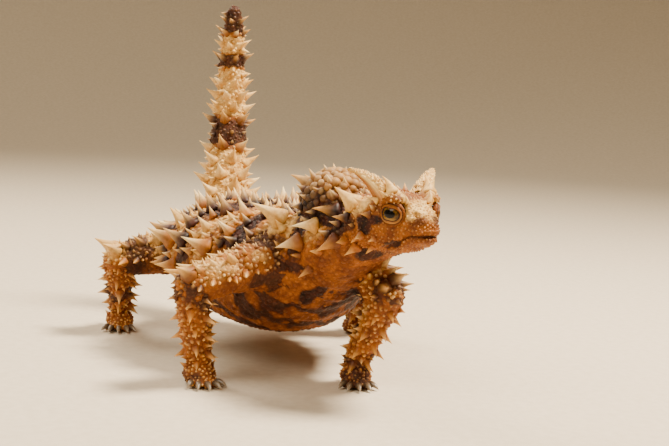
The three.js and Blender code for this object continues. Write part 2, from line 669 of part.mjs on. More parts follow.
// The hump: a knob on the neck with a pair of big thorns and rounded lumps in rings
const humpPoint = (turn, rise, out = 1) => {
  const flat = Math.cos(rise) * out;
  const on = [flat * Math.cos(turn), flat * Math.sin(turn), Math.sin(rise) * out];
  return vec(on.map((v, k) => v * HUMP.size[k] + HUMP.at[k]));
};
const humpParts = [ball(HUMP.at, HUMP.size)];
for (const side of [1, -1]) {
  const [rootTurn, rootRise, tipTurn, tipRise] = [...HUMP_THORN.root, ...HUMP_THORN.tip].map(rad);
  const root = humpPoint(rootTurn * side, rootRise, HUMP_THORN.sink);
  const tip = humpPoint(tipTurn * side, tipRise).add(vec(mirrored(HUMP_THORN_OUT, side)));
  humpParts.push(thornSolid(root, tip, HUMP_THORN.radius, HUMP_THORN.sides, vec(HUMP_THORN_BEND)));
}
HUMP_RINGS.forEach(({ rise, count, size }, ring) => {
  for (let i = 0; i < count; i++) {
    const turn = (2 * Math.PI * (i + 0.5 * (ring % 2))) / count;
    const tip = humpPoint(turn, rad(rise), 1 + (size * vary(HUMP_LUMP.varies)) / HUMP.size[0]);
    const root = humpPoint(turn, rad(rise), HUMP_LUMP.sink);
    humpParts.push(thornSolid(root, tip, size, HUMP_LUMP.sides));
  }
});
const humpSolid = [neckGrown, trunkGrown, headGrown].reduce((a, b) => a.subtract(b), joined(humpParts));
nodes.set("nape_hump", [largest(humpSolid), "pale"]);

// The scene graph
function meshOf(name, solid, finish) {
  const { vertProperties, triVerts, numProp } = solid.getMesh();
  const geometry = new THREE.BufferGeometry();
  const count = vertProperties.length / numProp;
  const positions = new Float32Array(count * 3);
  for (let i = 0; i < count; i++) {
    positions.set(vertProperties.subarray(i * numProp, i * numProp + 3), i * 3);
  }
  geometry.setAttribute("position", new THREE.BufferAttribute(positions, 3));
  geometry.setIndex(new THREE.BufferAttribute(triVerts, 1));
  geometry.computeVertexNormals();
  const [color, roughness] = COLOURS[finish];
  const mesh = new THREE.Mesh(geometry, new THREE.MeshStandardMaterial({ color, roughness }));
  mesh.name = name;
  return mesh;
}
const animal = new THREE.Group();
for (const [name, [solid, finish]] of nodes) animal.add(meshOf(name, solid, finish));
const box = new THREE.Box3().setFromObject(animal);
const middle = box.getCenter(new THREE.Vector3());
animal.position.set(-middle.x, -middle.y, -box.min.z);

export default animal;
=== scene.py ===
import itertools
import math

import bpy
import numpy as np
from mathutils import Matrix, Vector, kdtree


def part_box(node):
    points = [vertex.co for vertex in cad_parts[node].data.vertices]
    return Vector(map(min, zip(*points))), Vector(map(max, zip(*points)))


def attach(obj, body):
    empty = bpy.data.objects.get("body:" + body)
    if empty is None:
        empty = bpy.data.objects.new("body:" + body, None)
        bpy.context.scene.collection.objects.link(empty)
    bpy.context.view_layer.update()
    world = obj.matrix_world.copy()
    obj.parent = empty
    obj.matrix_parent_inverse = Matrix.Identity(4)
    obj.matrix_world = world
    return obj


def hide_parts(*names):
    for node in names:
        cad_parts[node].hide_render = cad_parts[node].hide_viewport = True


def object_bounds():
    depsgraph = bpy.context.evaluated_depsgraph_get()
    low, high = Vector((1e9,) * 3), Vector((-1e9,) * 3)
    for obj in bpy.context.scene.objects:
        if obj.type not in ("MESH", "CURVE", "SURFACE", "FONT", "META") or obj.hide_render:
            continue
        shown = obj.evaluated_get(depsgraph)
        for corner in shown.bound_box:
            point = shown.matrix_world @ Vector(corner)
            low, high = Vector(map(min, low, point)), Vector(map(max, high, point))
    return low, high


# A thorny devil (Moloch horridus), life size, standing in mid-step. Tables are in millimetres, in a
# body frame: x towards the head, y to the animal's left, z up from the ground.
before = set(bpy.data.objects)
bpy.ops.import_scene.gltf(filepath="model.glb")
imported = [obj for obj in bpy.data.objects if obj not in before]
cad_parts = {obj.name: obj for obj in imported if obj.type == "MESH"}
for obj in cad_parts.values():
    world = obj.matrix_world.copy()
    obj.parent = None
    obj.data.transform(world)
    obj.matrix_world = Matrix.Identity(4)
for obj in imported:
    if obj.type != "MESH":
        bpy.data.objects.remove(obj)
cad_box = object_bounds()

MM = 0.001
SEED = 4108
SKIN_VOXEL = 0.32  # mm, as every length here whose unit isn't given
SMOOTHING = 14  # rounds of relaxing the skin
BAKE_PATCH = 0.003  # width of a thorn's own patch in the bake map, as a share of it
SPINE_SINK = 0.9  # how deep a main thorn's root lies under the hide
TYPICAL_THORN = 2.5
TRUNK_ANGLE_JITTER = 5
GAP = 0.3  # least gap between thorns of different pieces
FLOOR_ROOM = 0.4  # least height of a thorn above the ground

# Trunk and head: x, y, z of the centre, half width, height above it, depth below it
TRUNK = [
    (-38, 0.0, 22.6, 5.4, 5.0, 4.8),
    (-31, 0.0, 21.8, 10.0, 7.6, 8.0),
    (-21, 0.0, 21.4, 16.5, 10.0, 11.4),
    (-9, 0.0, 21.4, 20.6, 11.6, 13.4),
    (4, 0.2, 21.8, 20.6, 11.6, 14.4),
    (14, 0.9, 22.6, 17.4, 11.0, 14.8),
    (23, 2.2, 24.6, 13.0, 9.2, 13.0),
    (30, 4.2, 27.4, 9.2, 7.4, 10.0),
    (35, 6.8, 29.8, 7.2, 5.8, 7.6),
]
NECK = [
    (24, 2.4, 25.2, 10.2, 7.8, 10.0),
    (30, 4.4, 28.4, 8.8, 7.0, 8.6),
    (36, 7.8, 31.9, 8.0, 6.2, 7.2),
    (41, 11.1, 34.1, 7.6, 5.6, 6.2),
]
HEAD = [
    (-11.5, 0, -1.6, 6.0, 4.6, 4.8),
    (-8.8, 0, -1.4, 8.0, 5.6, 5.6),
    (-5.0, 0, -1.2, 8.0, 6.0, 5.6),
    (-1.0, 0, -1.0, 6.8, 5.9, 5.2),
    (1.8, 0, -1.4, 5.2, 5.2, 4.5),
    (4.1, 0, -1.9, 3.8, 4.3, 3.5),
    (6.0, 0, -2.5, 2.5, 3.1, 2.4),
    (7.0, 0, -2.9, 1.4, 1.8, 1.4),
]
TAIL = [
    (-30, 0.0, 21.8, 7.2),
    (-38.4, 0.2, 26.4, 5.8),
    (-45.4, 1.0, 38.0, 4.6),
    (-48.8, 2.0, 49.0, 3.9),
    (-49.6, 2.2, 59.0, 3.3),
    (-48.4, 1.8, 69.0, 2.6),
    (-46.6, 1.4, 77.0, 1.5),
]
TAIL_CUTS = (0.42, 0.72)
TAIL_END = 0.955  # where the skin of the tail rounds off, as a share of its length

HEAD_AT = (47.6, 12.5, 36.0)
HEAD_YAW, HEAD_PITCH, HEAD_ROLL = 17, 7, 0
EYE_RADIUS = 2.3
EYE_AT = (1.3, 4.0, 0.9)
EYE_AXIS = (0.42, 1.0, -0.02)  # the way it looks, for the left eye
EYE_TILT = 14  # degrees that the front corner of the lids lies lower
BROW_AT, BROW_SIZE = (0.8, 4.5, 3.4), (3.2, 1.7, 1.4)
HORN_BASE, HORN_TIP, HORN_RADIUS, HORN_BEND = (-1.4, 4.3, 3.3), (-4.5, 10.2, 9.3), 2.5, (0.6, -0.3, 0.7)
HORN_TAPER = ((0, 0.35, 0.7, 1), (1.0, 0.74, 0.38, 0.02))  # shares of length, shares of the radius
MOUTH_BACK = -1.6
NOSTRIL_AT = (5.3, 2.1, 0.5)
EAR_AT, EAR_SIZE = (-6.0, 8.5, -1.7), (1.5, 1.0, 1.9)
HUMP_AT, HUMP_SIZE = (30.4, 4.0, 36.6), (7.4, 6.6, 6.4)
HUMP_THORN = 2.1

# Limbs: hip or shoulder, knee or elbow, ankle or wrist; half thickness along each bone; the toes'
# heading, length and spread
ARM_RADII = ((5.4, 4.2, 3.4), (3.3, 2.9, 2.5))
LEG_RADII = ((6.2, 4.9, 3.6), (3.4, 2.8, 2.4))
LIMBS = {
    "front_right": {
        "joints": ((23.5, -5.6, 24.4), (29.4, -24.0, 20.0), (25.4, -20.9, 4.6)),
        "radii": ARM_RADII, "toes": (4, 4.2, 36),
    },
    "front_left": {
        "joints": ((23.5, 10.0, 24.4), (36.4, 13.9, 19.4), (29.4, 10.6, 4.6)),
        "radii": ARM_RADII, "toes": (-12, 4.2, 36),
    },
    "hind_right": {
        "joints": ((-24.0, -8.5, 20.4), (-22.0, -29.0, 17.2), (-30.4, -26.8, 4.6)),
        "radii": LEG_RADII, "toes": (-12, 4.9, 32),
    },
    "hind_left": {
        "joints": ((-23.0, 8.5, 20.4), (-16.5, 30.6, 17.0), (-21.5, 28.6, 4.6)),
        "radii": LEG_RADII, "toes": (12, 4.9, 32),
    },
}
PALM_SIZE, PALM_AHEAD, PALM_HEIGHT = (3.7, 3.2, 2.3), 0.8, 1.9
TOE_START = 1.5
TOE_ROWS = ((0, 1.2, 1.05), (0.62, 1.15, 0.86), (1, 0.8, 0.7))  # share of the length, height, radius
CLAW_LENGTH, CLAW_RADIUS, CLAW_HEIGHT, CLAW_TIP = 2.2, 0.62, 1.1, 0.4
TOE_SLIM = 0.86  # the skin's toes are this much slimmer than the solids', so that they part cleanly
FOOT_TOP, FOOT_FIRM = 7.5, 4.0  # the skin is relaxed less from the first height down to the second
DIGITS = 5
FLESH = ["head", "neck", "nape_hump", "torso", "tail_base", "tail_middle", "tail_tip"] + [
    f"{part}_{side}"
    for side in ("right", "left")
    for part in ("upper_arm", "forearm", "hand", "thigh", "shin", "foot")
]

# The long thorn on each shoulder: x, angle, length, radius, lean, and the way it points
SHOULDER_THORN = (24.6, 52, 7.4, 2.1, 0.9, (-0.25, 1, -0.1))
# Rows of thorns on the trunk: angle round from the left side, length, radius, step, from x, to x
TRUNK_ROWS = [
    (76, 3.6, 1.25, 7.2, -31, 24),
    (54, 5.2, 1.7, 8.2, -27, 20),
    (33, 4.2, 1.4, 7.4, -30, 20),
    (13, 6.4, 1.9, 8.0, -27, 18),
    (-9, 4.2, 1.4, 7.6, -23, 14),
    (-30, 2.0, 0.9, 8.4, -19, 13),
]
NECK_THORNS = [(0.65, 44, 4.6), (0.47, 28, 4.4), (0.64, -10, 4.4), (0.32, 8, 5.0), (0.3, -32, 2.6)]
NECK_LEAN, NECK_OUT, NECK_SLENDER = 0.9, (-0.45, 0.8, -0.65), 0.34
# Thorns of the head: place along it, angle round, length, radius, lean
HEAD_THORNS = [
    (0.19, 40, 5.2, 1.9, 0.35),
    (0.16, 12, 3.0, 1.1, 1.0),
    (0.13, -14, 2.8, 1.1, 1.1),
    (0.2, -40, 3.0, 1.1, 1.0),
    (0.3, 36, 2.4, 1.0, 0.6),
    (0.36, 14, 1.6, 0.8, 0.9),
    (0.32, -48, 1.6, 0.8, 0.8),
    (0.6, 64, 2.2, 0.8, 0.2),
    (0.68, 58, 1.4, 0.6, 0.1),
    (0.52, 62, 3.4, 1.1, 0.3),
]
TAIL_WHORLS, TAIL_THORNS = 15, 6
LIMB_ROWS = (-150, -95, -45, 10, 60, 115)
LIMB_SPANS = ((0.5, 0.8, -0.5, -0.25), (0.34, 0.74, -0.35, -1))  # from, to, lean, least rise


class Draw:
    """A repeatable random number from 0 to 1, the same series as the solids use."""

    def __init__(self, seed):
        self.state = seed

    def __call__(self):
        self.state = (self.state * 1664525 + 1013904223) % 4294967296
        return self.state / 4294967296

    def vary(self, amount):
        return 1 + amount * (2 * self() - 1)


def unit(v):
    v = np.asarray(v, float)
    return v / np.maximum(np.linalg.norm(v, axis=-1, keepdims=True), 1e-12)


def eased(rows, u):
    """Smooth values between evenly spaced rows, at u from 0 to 1."""
    rows, u = np.asarray(rows, float), np.asarray(u, float)
    last = len(rows) - 1
    place = np.clip(u, 0, 1) * last
    i = np.minimum(place.astype(int), last - 1)
    t = (place - i)[..., None]
    a, b, c, d = (rows[np.clip(i + k, 0, last)] for k in (-1, 0, 1, 2))
    return b + 0.5 * t * (c - a + t * (2 * a - 5 * b + 4 * c - d + t * (3 * (b - c) + d - a)))


def head_matrix():
    yaw, pitch, roll = (
        Matrix.Rotation(math.radians(angle), 4, axis)
        for angle, axis in ((HEAD_YAW, "Z"), (-HEAD_PITCH, "Y"), (HEAD_ROLL, "X")))
    return np.array(Matrix.Translation(HEAD_AT) @ yaw @ pitch @ roll)


HEAD_MATRIX = head_matrix()
HEAD_TURN = HEAD_MATRIX[:3, :3]


def from_head(point):
    return np.asarray(point, float) @ HEAD_TURN.T + HEAD_MATRIX[:3, 3]


def to_head(points):
    return (np.asarray(points, float) - HEAD_MATRIX[:3, 3]) @ HEAD_TURN


def on_side(point, side):
    """A point of the left side, or the same on the right for side -1."""
    return (point[0], point[1] * side, point[2])


def mirrored(angle, side):
    """An angle in degrees round a section, or the same on the right for side -1."""
    return angle if side > 0 else 180 - angle


def around(sides):
    return np.linspace(0, 2 * np.pi, sides, endpoint=False)


def over_form(rings, sides, end=1.0):
    """Shares of the length and angles of an even grid over a form."""
    return np.meshgrid(np.linspace(0, end, rings), around(sides), indexing="ij")


def step(low, high, x):
    """A smooth rise from 0 at low to 1 at high."""
    t = np.clip((x - low) / (high - low), 0, 1)
    return t * t * (3 - 2 * t)


def bump(x, at, width):
    """A smooth rise to 1 at one value, and back to 0 on both sides of it."""
    return np.exp(-(((x - at) / width) ** 2))


def away_from(points, at, size=1.0):
    """How far points lie from a middle, in its half sizes."""
    return np.linalg.norm((points - np.asarray(at)) / size, axis=1)


# The solids' own origin, found from where the right eye lies in the frame
eye_low, eye_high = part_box("eye_right")
SHIFT = np.array((eye_low + eye_high) / 2) / MM - from_head(on_side(EYE_AT, -1))
SHIFT[2] = 0.0
BOX_LOW, BOX_HIGH = (np.array(corner) / MM - SHIFT for corner in cad_box)


class Form:
    """A tube with a varying oval section. Rows give its centre and half sizes."""

    def __init__(self, rows, top=None, matrix=None, roundness=2.0):
        self.rows, self.top = np.asarray(rows, float), top
        self.matrix, self.roundness = matrix, roundness
        if self.rows.shape[1] == 4:
            self.rows = np.hstack([self.rows, self.rows[:, 3:4], self.rows[:, 3:4]])

    def section(self, u):
        row = eased(self.rows, u)
        at, size = row[..., :3], row[..., 3:6]
        if self.top is None:
            left, above = np.array((0.0, 1, 0)), np.array((0.0, 0, 1))
            if self.matrix is not None:
                at = from_head(at)
                left, above = self.matrix[:3, 1], self.matrix[:3, 2]
            return at, np.broadcast_to(left, at.shape), np.broadcast_to(above, at.shape), size
        u = np.asarray(u, float)
        ahead = unit(eased(self.rows[:, :3], u + 0.01) - eased(self.rows[:, :3], u - 0.01))
        left = unit(np.cross(self.top, ahead))
        return at, left, np.cross(ahead, left), size

    def point(self, u, angle, grow=0.0):
        at, left, above, size = self.section(u)
        c, t = np.cos(angle), np.sin(angle)
        power = 2 / self.roundness
        side = np.sign(c) * np.abs(c) ** power * (size[..., 0] + grow)
        height = np.where(t > 0, size[..., 1], size[..., 2]) + grow
        rise = np.sign(t) * np.abs(t) ** power * height
        return at + left * side[..., None] + above * rise[..., None]

    def normal(self, u, angle):
        bit = 0.01
        along = self.point(min(u + bit, 1), angle) - self.point(u - bit, angle)
        sideways = self.point(u, angle + bit) - self.point(u, angle - bit)
        return unit(np.cross(sideways, along))

    def tailward(self, u):
        return unit(self.section(u)[0] - self.section(u + 0.02)[0])

    def surface(self, rings=64, sides=48, end=1.0):
        return self.point(*over_form(rings, sides, end))


def segment(start, end, radii):
    """The flesh along one bone, rounded off at both ends."""
    start, end = np.array(start), np.array(end)
    along = unit(end - start)
    rows = [
        (*(start - along * radii[0] * 0.5), radii[0] * 0.6),
        (*start, radii[0]),
        (*((start + end) / 2), radii[1]),
        (*end, radii[2]),
        (*(end + along * radii[2] * 0.75), radii[2] * 0.45),
    ]
    return Form(rows, top=(0.9, 0, 0.45))


trunk = Form(TRUNK, roundness=2.2)
neck = Form(NECK, top=(0, 0, 1))
head = Form(HEAD, matrix=HEAD_MATRIX, roundness=2.4)
tail = Form(TAIL, top=(1, 0, 0.3))
limbs = {
    limb: [segment(*spec["joints"][k : k + 2], spec["radii"][k]) for k in (0, 1)]
    for limb, spec in LIMBS.items()
}
FORMS = [trunk, neck, head, tail] + [form for pair in limbs.values() for form in pair]
ON_TRUNK, ON_NECK, ON_HEAD, ON_TAIL, ON_LIMBS = range(5)  # places in FORMS; the limbs follow on
ON_LEGS = ON_LIMBS + 4  # two arms of two bones each come first


def foot_layout(spec):
    """The heading, the palm's centre, and for each toe its direction and rows."""
    turn, toe_length, spread = spec["toes"]
    heading = math.radians(turn)
    forward = np.array((math.cos(heading), math.sin(heading), 0))
    palm = np.array(spec["joints"][2]) + forward * PALM_AHEAD
    palm[2] = PALM_HEIGHT
    toes = []
    for i in range(DIGITS):
        share = i / (DIGITS - 1) - 0.5
        angle = heading + math.radians(2 * spread * share)
        out = np.array((math.cos(angle), math.sin(angle), 0))
        length = toe_length * (1 - share * share)
        rows = [(*(palm + out * (TOE_START + along * length))[:2], height, radius)
                for along, height, radius in TOE_ROWS]
        toes.append((out, rows))
    return heading, palm, toes


# Mesh making

def placed(name, data):
    made = bpy.data.objects.new(name, data)
    bpy.context.scene.collection.objects.link(made)
    return made


def mesh_object(name, points, triangles, smooth=True):
    """A mesh object from points in body-frame millimetres and rows of three indices."""
    mesh = bpy.data.meshes.new(name)
    mesh.vertices.add(len(points))
    mesh.vertices.foreach_set("co", ((points + SHIFT) * MM).astype(np.float32).ravel())
    mesh.loops.add(triangles.size)
    mesh.loops.foreach_set("vertex_index", triangles.astype(np.int32).ravel())
    mesh.polygons.add(len(triangles))
    mesh.polygons.foreach_set("loop_start", np.arange(0, triangles.size, 3, dtype=np.int32))
    mesh.update()
    mesh.validate()
    if smooth:
        mesh.shade_smooth()
    return placed(name, mesh)


def tube_triangles(rings, sides, closed=True):
    """Triangles over a grid of rings, with a fan on each end round two extra points at its end."""
    i, j = np.meshgrid(np.arange(rings - 1), np.arange(sides), indexing="ij")
    a, b = i * sides + j, i * sides + (j + 1) % sides
    quads = np.stack([a, b, b + sides, a, b + sides, a + sides], -1).reshape(-1, 3)
    if not closed:
        return quads
    j = np.arange(sides)
    first, last = rings * sides, rings * sides + 1
    top = (rings - 1) * sides
    start = np.stack([np.full(sides, first), (j + 1) % sides, j], -1)
    end = np.stack([np.full(sides, last), top + j, top + (j + 1) % sides], -1)
    return np.vstack([quads, start, end])


def tube(rings_of_points):
    """Points and triangles of a closed tube over an array of rings."""
    rings, sides = rings_of_points.shape[:2]
    ends = np.stack([rings_of_points[0].mean(0), rings_of_points[-1].mean(0)])
    return np.vstack([rings_of_points.reshape(-1, 3), ends]), tube_triangles(rings, sides)


def ball(at, size, matrix=None, rings=24, sides=32):
    polar = np.linspace(0.03, np.pi - 0.03, rings)[:, None]
    turn = around(sides)[None, :]
    x, y, z = np.sin(polar) * np.cos(turn), np.sin(polar) * np.sin(turn), -np.cos(polar) + 0 * turn
    points = np.stack([x, y, z], -1) * size + np.asarray(at)
    if matrix is not None:
        points = points @ matrix[:3, :3].T + matrix[:3, 3]
    return tube(points)


def together(parts):
    points, triangles, start = [], [], 0
    for p, t in parts:
        points.append(p)
        triangles.append(t + start)
        start += len(p)
    return np.vstack(points), np.vstack(triangles)


def noise(points, size, seed=0):
    """Smooth random values from -1 to 1, in lumps about size millimetres across."""
    q = np.asarray(points) / size + seed * 17.31
    cell = np.floor(q)
    f = q - cell
    f = f * f * (3 - 2 * f)
    total = np.zeros(len(q))
    for corner in itertools.product((0, 1), repeat=3):
        c = cell + corner
        value = np.abs(np.sin(c @ (12.9898, 78.233, 37.719)) * 43758.5453) % 1
        total += value * np.prod(np.where(corner, f, 1 - f), axis=1)
    return total * 2 - 1


# The skin: all the flesh joined, remeshed as one surface, relaxed and then modelled further

def flesh_parts():
    parts = [tube(form.surface()) for form in (trunk, neck, head)]
    parts.append(tube(tail.surface(96, 32, TAIL_END)))
    tip_at, _, _, tip_size = tail.section(TAIL_END)
    parts.append(ball(tip_at, tip_size))
    parts.append(ball(HUMP_AT, HUMP_SIZE))
    for side in (1, -1):
        parts.append(ball(on_side(BROW_AT, side), BROW_SIZE, HEAD_MATRIX))
    for limb, spec in LIMBS.items():
        parts += [tube(form.surface(40, 32)) for form in limbs[limb]]
        parts.append(ball(spec["joints"][1], [spec["radii"][0][2] * 0.98] * 3))
        heading, palm, toes = foot_layout(spec)
        turn = np.array(Matrix.Translation(palm) @ Matrix.Rotation(heading, 4, "Z"))
        parts.append(ball((0, 0, 0), PALM_SIZE, turn))
        for out, rows in toes:
            slim = [(*row[:3], row[3] * TOE_SLIM) for row in rows]
            parts.append(tube(Form(slim, top=(0, 0, 1)).surface(16, 16)))
            parts.append(ball(slim[-1][:3], [slim[-1][3]] * 3, rings=10, sides=14))
    return parts


def remeshed(points, triangles):
    """The union of closed shapes as one even surface."""
    rough = mesh_object("rough_flesh", points, triangles, smooth=False)
    modifier = rough.modifiers.new("union", "REMESH")
    modifier.mode = "VOXEL"
    modifier.voxel_size = SKIN_VOXEL * MM
    bpy.context.view_layer.update()
    solid = bpy.data.meshes.new_from_object(rough.evaluated_get(bpy.context.evaluated_depsgraph_get()))
    solid.calc_loop_triangles()
    count, triangle_count = len(solid.vertices), len(solid.loop_triangles)
    co = np.zeros(count * 3, np.float32)
    solid.vertices.foreach_get("co", co)
    index = np.zeros(triangle_count * 3, np.int32)
    solid.loop_triangles.foreach_get("vertices", index)
    edges = np.zeros(len(solid.edges) * 2, np.int32)
    solid.edges.foreach_get("vertices", edges)
    bpy.data.objects.remove(rough)
    return co.reshape(-1, 3) / MM - SHIFT, index.reshape(-1, 3), edges.reshape(-1, 2)


def relaxed(points, edges, rounds, amount):
    """Moves each point towards the middle of its neighbours. amount holds each point's share."""
    count = np.bincount(edges.ravel(), minlength=len(points))[:, None]
    for _ in range(rounds):
        total = np.zeros_like(points)
        for k in range(3):
            total[:, k] = np.bincount(edges[:, 0], points[edges[:, 1], k], len(points))
            total[:, k] += np.bincount(edges[:, 1], points[edges[:, 0], k], len(points))
        points = points + (total / count - points) * amount[:, None]
    return points


def normals_of(points, triangles):
    a, b, c = (points[triangles[:, k]] for k in range(3))
    face = np.cross(b - a, c - a)
    total = np.zeros_like(points)
    for corner in range(3):
        for k in range(3):
            total[:, k] += np.bincount(triangles[:, corner], face[:, k], len(points))
    return unit(total)


def mouth_height(x):
    """How high the line of the mouth lies in the head's frame: level in front, low at its corner."""
    return -3.45 - 0.95 * step(4.4, 2.0, x) - 0.28 * np.maximum(2.4 - x, 0)


# Features of the face on its left side: middle and half sizes in the head's frame, how much the
# skin lifts, how far out from the middle it lifts most, and how wide that is
FACE_FEATURES = [
    (NOSTRIL_AT, 1, 0.2, 0.9, 0.35),
    (NOSTRIL_AT, 1, -0.7, 0, 0.42),
    (EAR_AT, EAR_SIZE, 0.28, 1.25, 0.3),
    (EAR_AT, EAR_SIZE, -0.8, 0, 0.75),
    ((-1.4, 5.8, -2.9), (3.2, 2.0, 1.6), 0.4, 0, 1),
    ((-5.4, 6.2, 3.2), (2.6, 2.4, 1.8), 0.5, 0, 1),
]


def face_relief(points):
    """How far the features of the face, its mouth and the fold behind its cheek lift the skin."""
    local = to_head(points)
    x, y, z = local.T
    near = (x > -13) & (x < 12) & (np.abs(y) < 11) & (np.abs(z) < 10)
    ahead = step(MOUTH_BACK - 0.6, MOUTH_BACK + 0.8, x)
    line = z - mouth_height(x)
    lift = ahead * (0.26 * (bump(line, 0.8, 0.45) + bump(line, -0.75, 0.45)) - 0.6 * bump(line, 0, 0.3))
    fold = 0.5 * bump(x + 0.08 * z, -4.3, 0.55) * step(-4.2, -3.0, z) * step(1.4, 0.2, z)
    lift += fold * (np.abs(y) > 4)
    for side in (1, -1):
        for middle, size, most, out, width in FACE_FEATURES:
            lift += most * bump(away_from(local, on_side(middle, side), size), out, width)
        eye = away_from(local, on_side(EYE_AT, side))
        lift -= 0.45 * bump(eye, EYE_RADIUS, 0.6) * (np.abs(y) > 3)
    return np.where(near, lift, 0)


def body_relief(points):
    """Folds of loose skin on throat, neck and flanks, and an uneven hide everywhere."""
    x, y, z = points.T
    fold = np.sin(x * 1.9 + noise(points, 6, 3) * 2.4) * 0.16
    loose = step(12, 26, x) * (1 - step(40, 46, x)) + 0.4 * step(18, 14, z) * (np.abs(x) < 24)
    return fold * loose + 0.22 * noise(points, 3.2, 5) + 0.1 * noise(points, 1.3, 7)


def make_skin():
    points, triangles = together(flesh_parts())
    points, triangles, edges = remeshed(points, triangles)
    foot = step(FOOT_TOP, FOOT_FIRM, points[:, 2])
    points = relaxed(points, edges, SMOOTHING, 0.75 * (1 - 0.9 * foot))
    lift = (face_relief(points) + body_relief(points) * (1 - 0.7 * foot)) * step(0.0, 1.0, points[:, 2])
    points = points + normals_of(points, triangles) * lift[:, None]
    points[:, 2] = np.maximum(points[:, 2], 0.02)
    return points, triangles


# Where a point of the hide lies: on which form, how far along it, and at what angle round it

def tree_of(spots):
    tree = kdtree.KDTree(len(spots))
    for i, spot in enumerate(spots):
        tree.insert(spot, i)
    tree.balance()
    return tree


class Chart:
    """Finds the nearest place on the forms, and gives each form its own strip of the unwrap."""

    RINGS, SIDES = 60, 36

    def __init__(self, forms):
        self.u, self.angle, self.index, spots = [], [], [], []
        for k, form in enumerate(forms):
            u, angle = over_form(self.RINGS, self.SIDES)
            spots.append(form.point(u, angle).reshape(-1, 3))
            self.u.append(u.ravel())
            self.angle.append(angle.ravel())
            self.index.append(np.full(u.size, k))
        self.u, self.angle, self.index = map(np.concatenate, (self.u, self.angle, self.index))
        self.tree = tree_of(np.vstack(spots))
        widths = np.array([2.6 if form in (trunk, head) else 1.0 for form in forms])
        edges = np.concatenate([[0], np.cumsum(widths)]) / widths.sum()
        self.strip_low, self.strip_high = edges[:-1], edges[1:]

    def place(self, points):
        found = np.array([self.tree.find(p)[1] for p in points], int)
        return self.index[found], self.u[found], self.angle[found]

    def unwrap(self, points):
        index, u, angle = self.place(points)
        low, high = self.strip_low[index], self.strip_high[index]
        margin = 0.004
        across = low + margin + (high - low - 2 * margin) * angle / (2 * np.pi)
        return np.stack([across, 0.01 + 0.98 * u], -1)


chart = Chart(FORMS)


def limb_rises(points, index, u):
    """How much the hide faces up at each point of a limb; 0 off the limbs."""
    rise = np.zeros(len(points))
    for k in range(ON_LIMBS, len(FORMS)):
        own = index == k
        out = points[own] - FORMS[k].section(u[own])[0]
        rise[own] = unit(out)[:, 2]
    return rise


# Bands of the tail by height: 1 is pale and -1 is dark
TAIL_RINGS = [(26, 0.5), (30, 1), (41, 1), (44, -1), (48, -1), (51, 1), (60.5, 1), (62.5, -1), (64.5, -1),
              (66, 1), (69, 1), (71, -1), (80, -1)]

# Patches on the head, in its own frame: middle, half sizes, and the tone that they carry
HEAD_PATCHES = [
    ((-5.6, 7.0, 3.0), (2.7, 3.4, 2.2), "cream", 1.0),
    ((-8.6, 7.2, 1.8), (2.4, 2.6, 1.5), "cream", 0.8),
    ((5.0, 0.0, 2.3), (3.0, 5.0, 3.1), "cream", 1.0),
    ((0.6, 4.8, 4.6), (2.2, 1.4, 1.2), "cream", 0.4),
    ((-2.2, 7.0, -0.2), (3.1, 2.4, 1.1), "maroon", 1.0),
    ((-3.0, 7.4, -1.5), (1.4, 2.0, 1.5), "maroon", 1.0),
    ((-7.4, 8.3, -0.5), (1.1, 1.8, 1.9), "maroon", 0.8),
    ((-11.5, 8.6, -0.4), (5.0, 3.0, 1.4), "maroon", 1.0),
    ((-6.4, 4.2, -6.8), (3.8, 2.6, 1.7), "maroon", 0.95),
    ((0.7, 4.2, -4.6), (2.1, 1.4, 0.8), "maroon", 0.95),
    ((5.9, 1.6, -0.6), (0.9, 1.3, 0.9), "maroon", 0.55),
    ((0.4, 2.6, 5.2), (2.2, 1.3, 1.6), "maroon", 0.4),
]
# The same on the body, with y measured from the middle of the back
BODY_PATCHES = [
    ((25.6, 8.4, 32.6), (3.8, 4.6, 3.0), "cream", 0.75),
    ((31.0, 4.4, 18.2), (3.4, 1.7, 6.8), "maroon", 1.0),
    ((24.6, 9.4, 14.8), (3.6, 3.2, 2.2), "maroon", 0.9),
    # Painted shade in the crease between the arm and the body, laid as a maroon patch.
    ((30.6, 9.7, 24.0), (4.4, 2.6, 1.2), "maroon", 0.95),
    ((35.4, 7.0, 35.2), (4.2, 3.4, 2.2), "maroon", 0.9),
    ((27.0, 9.0, 28.4), (3.4, 3.0, 1.3), "maroon", 0.7),
]


def patched(local, patches, ragged, tones):
    """Lays soft-edged patches, alike on both sides, over the shares of cream and maroon."""
    folded = np.abs(local * (0, 1, 0)) + local * (1, 0, 1)
    for middle, size, tone, share in patches:
        away = away_from(folded, middle, size)
        over = share * step(1.15, 0.8, away + 0.25 * ragged)
        for key in tones:
            tones[key] = np.maximum(tones[key], over) if key == tone else tones[key] * (1 - over)


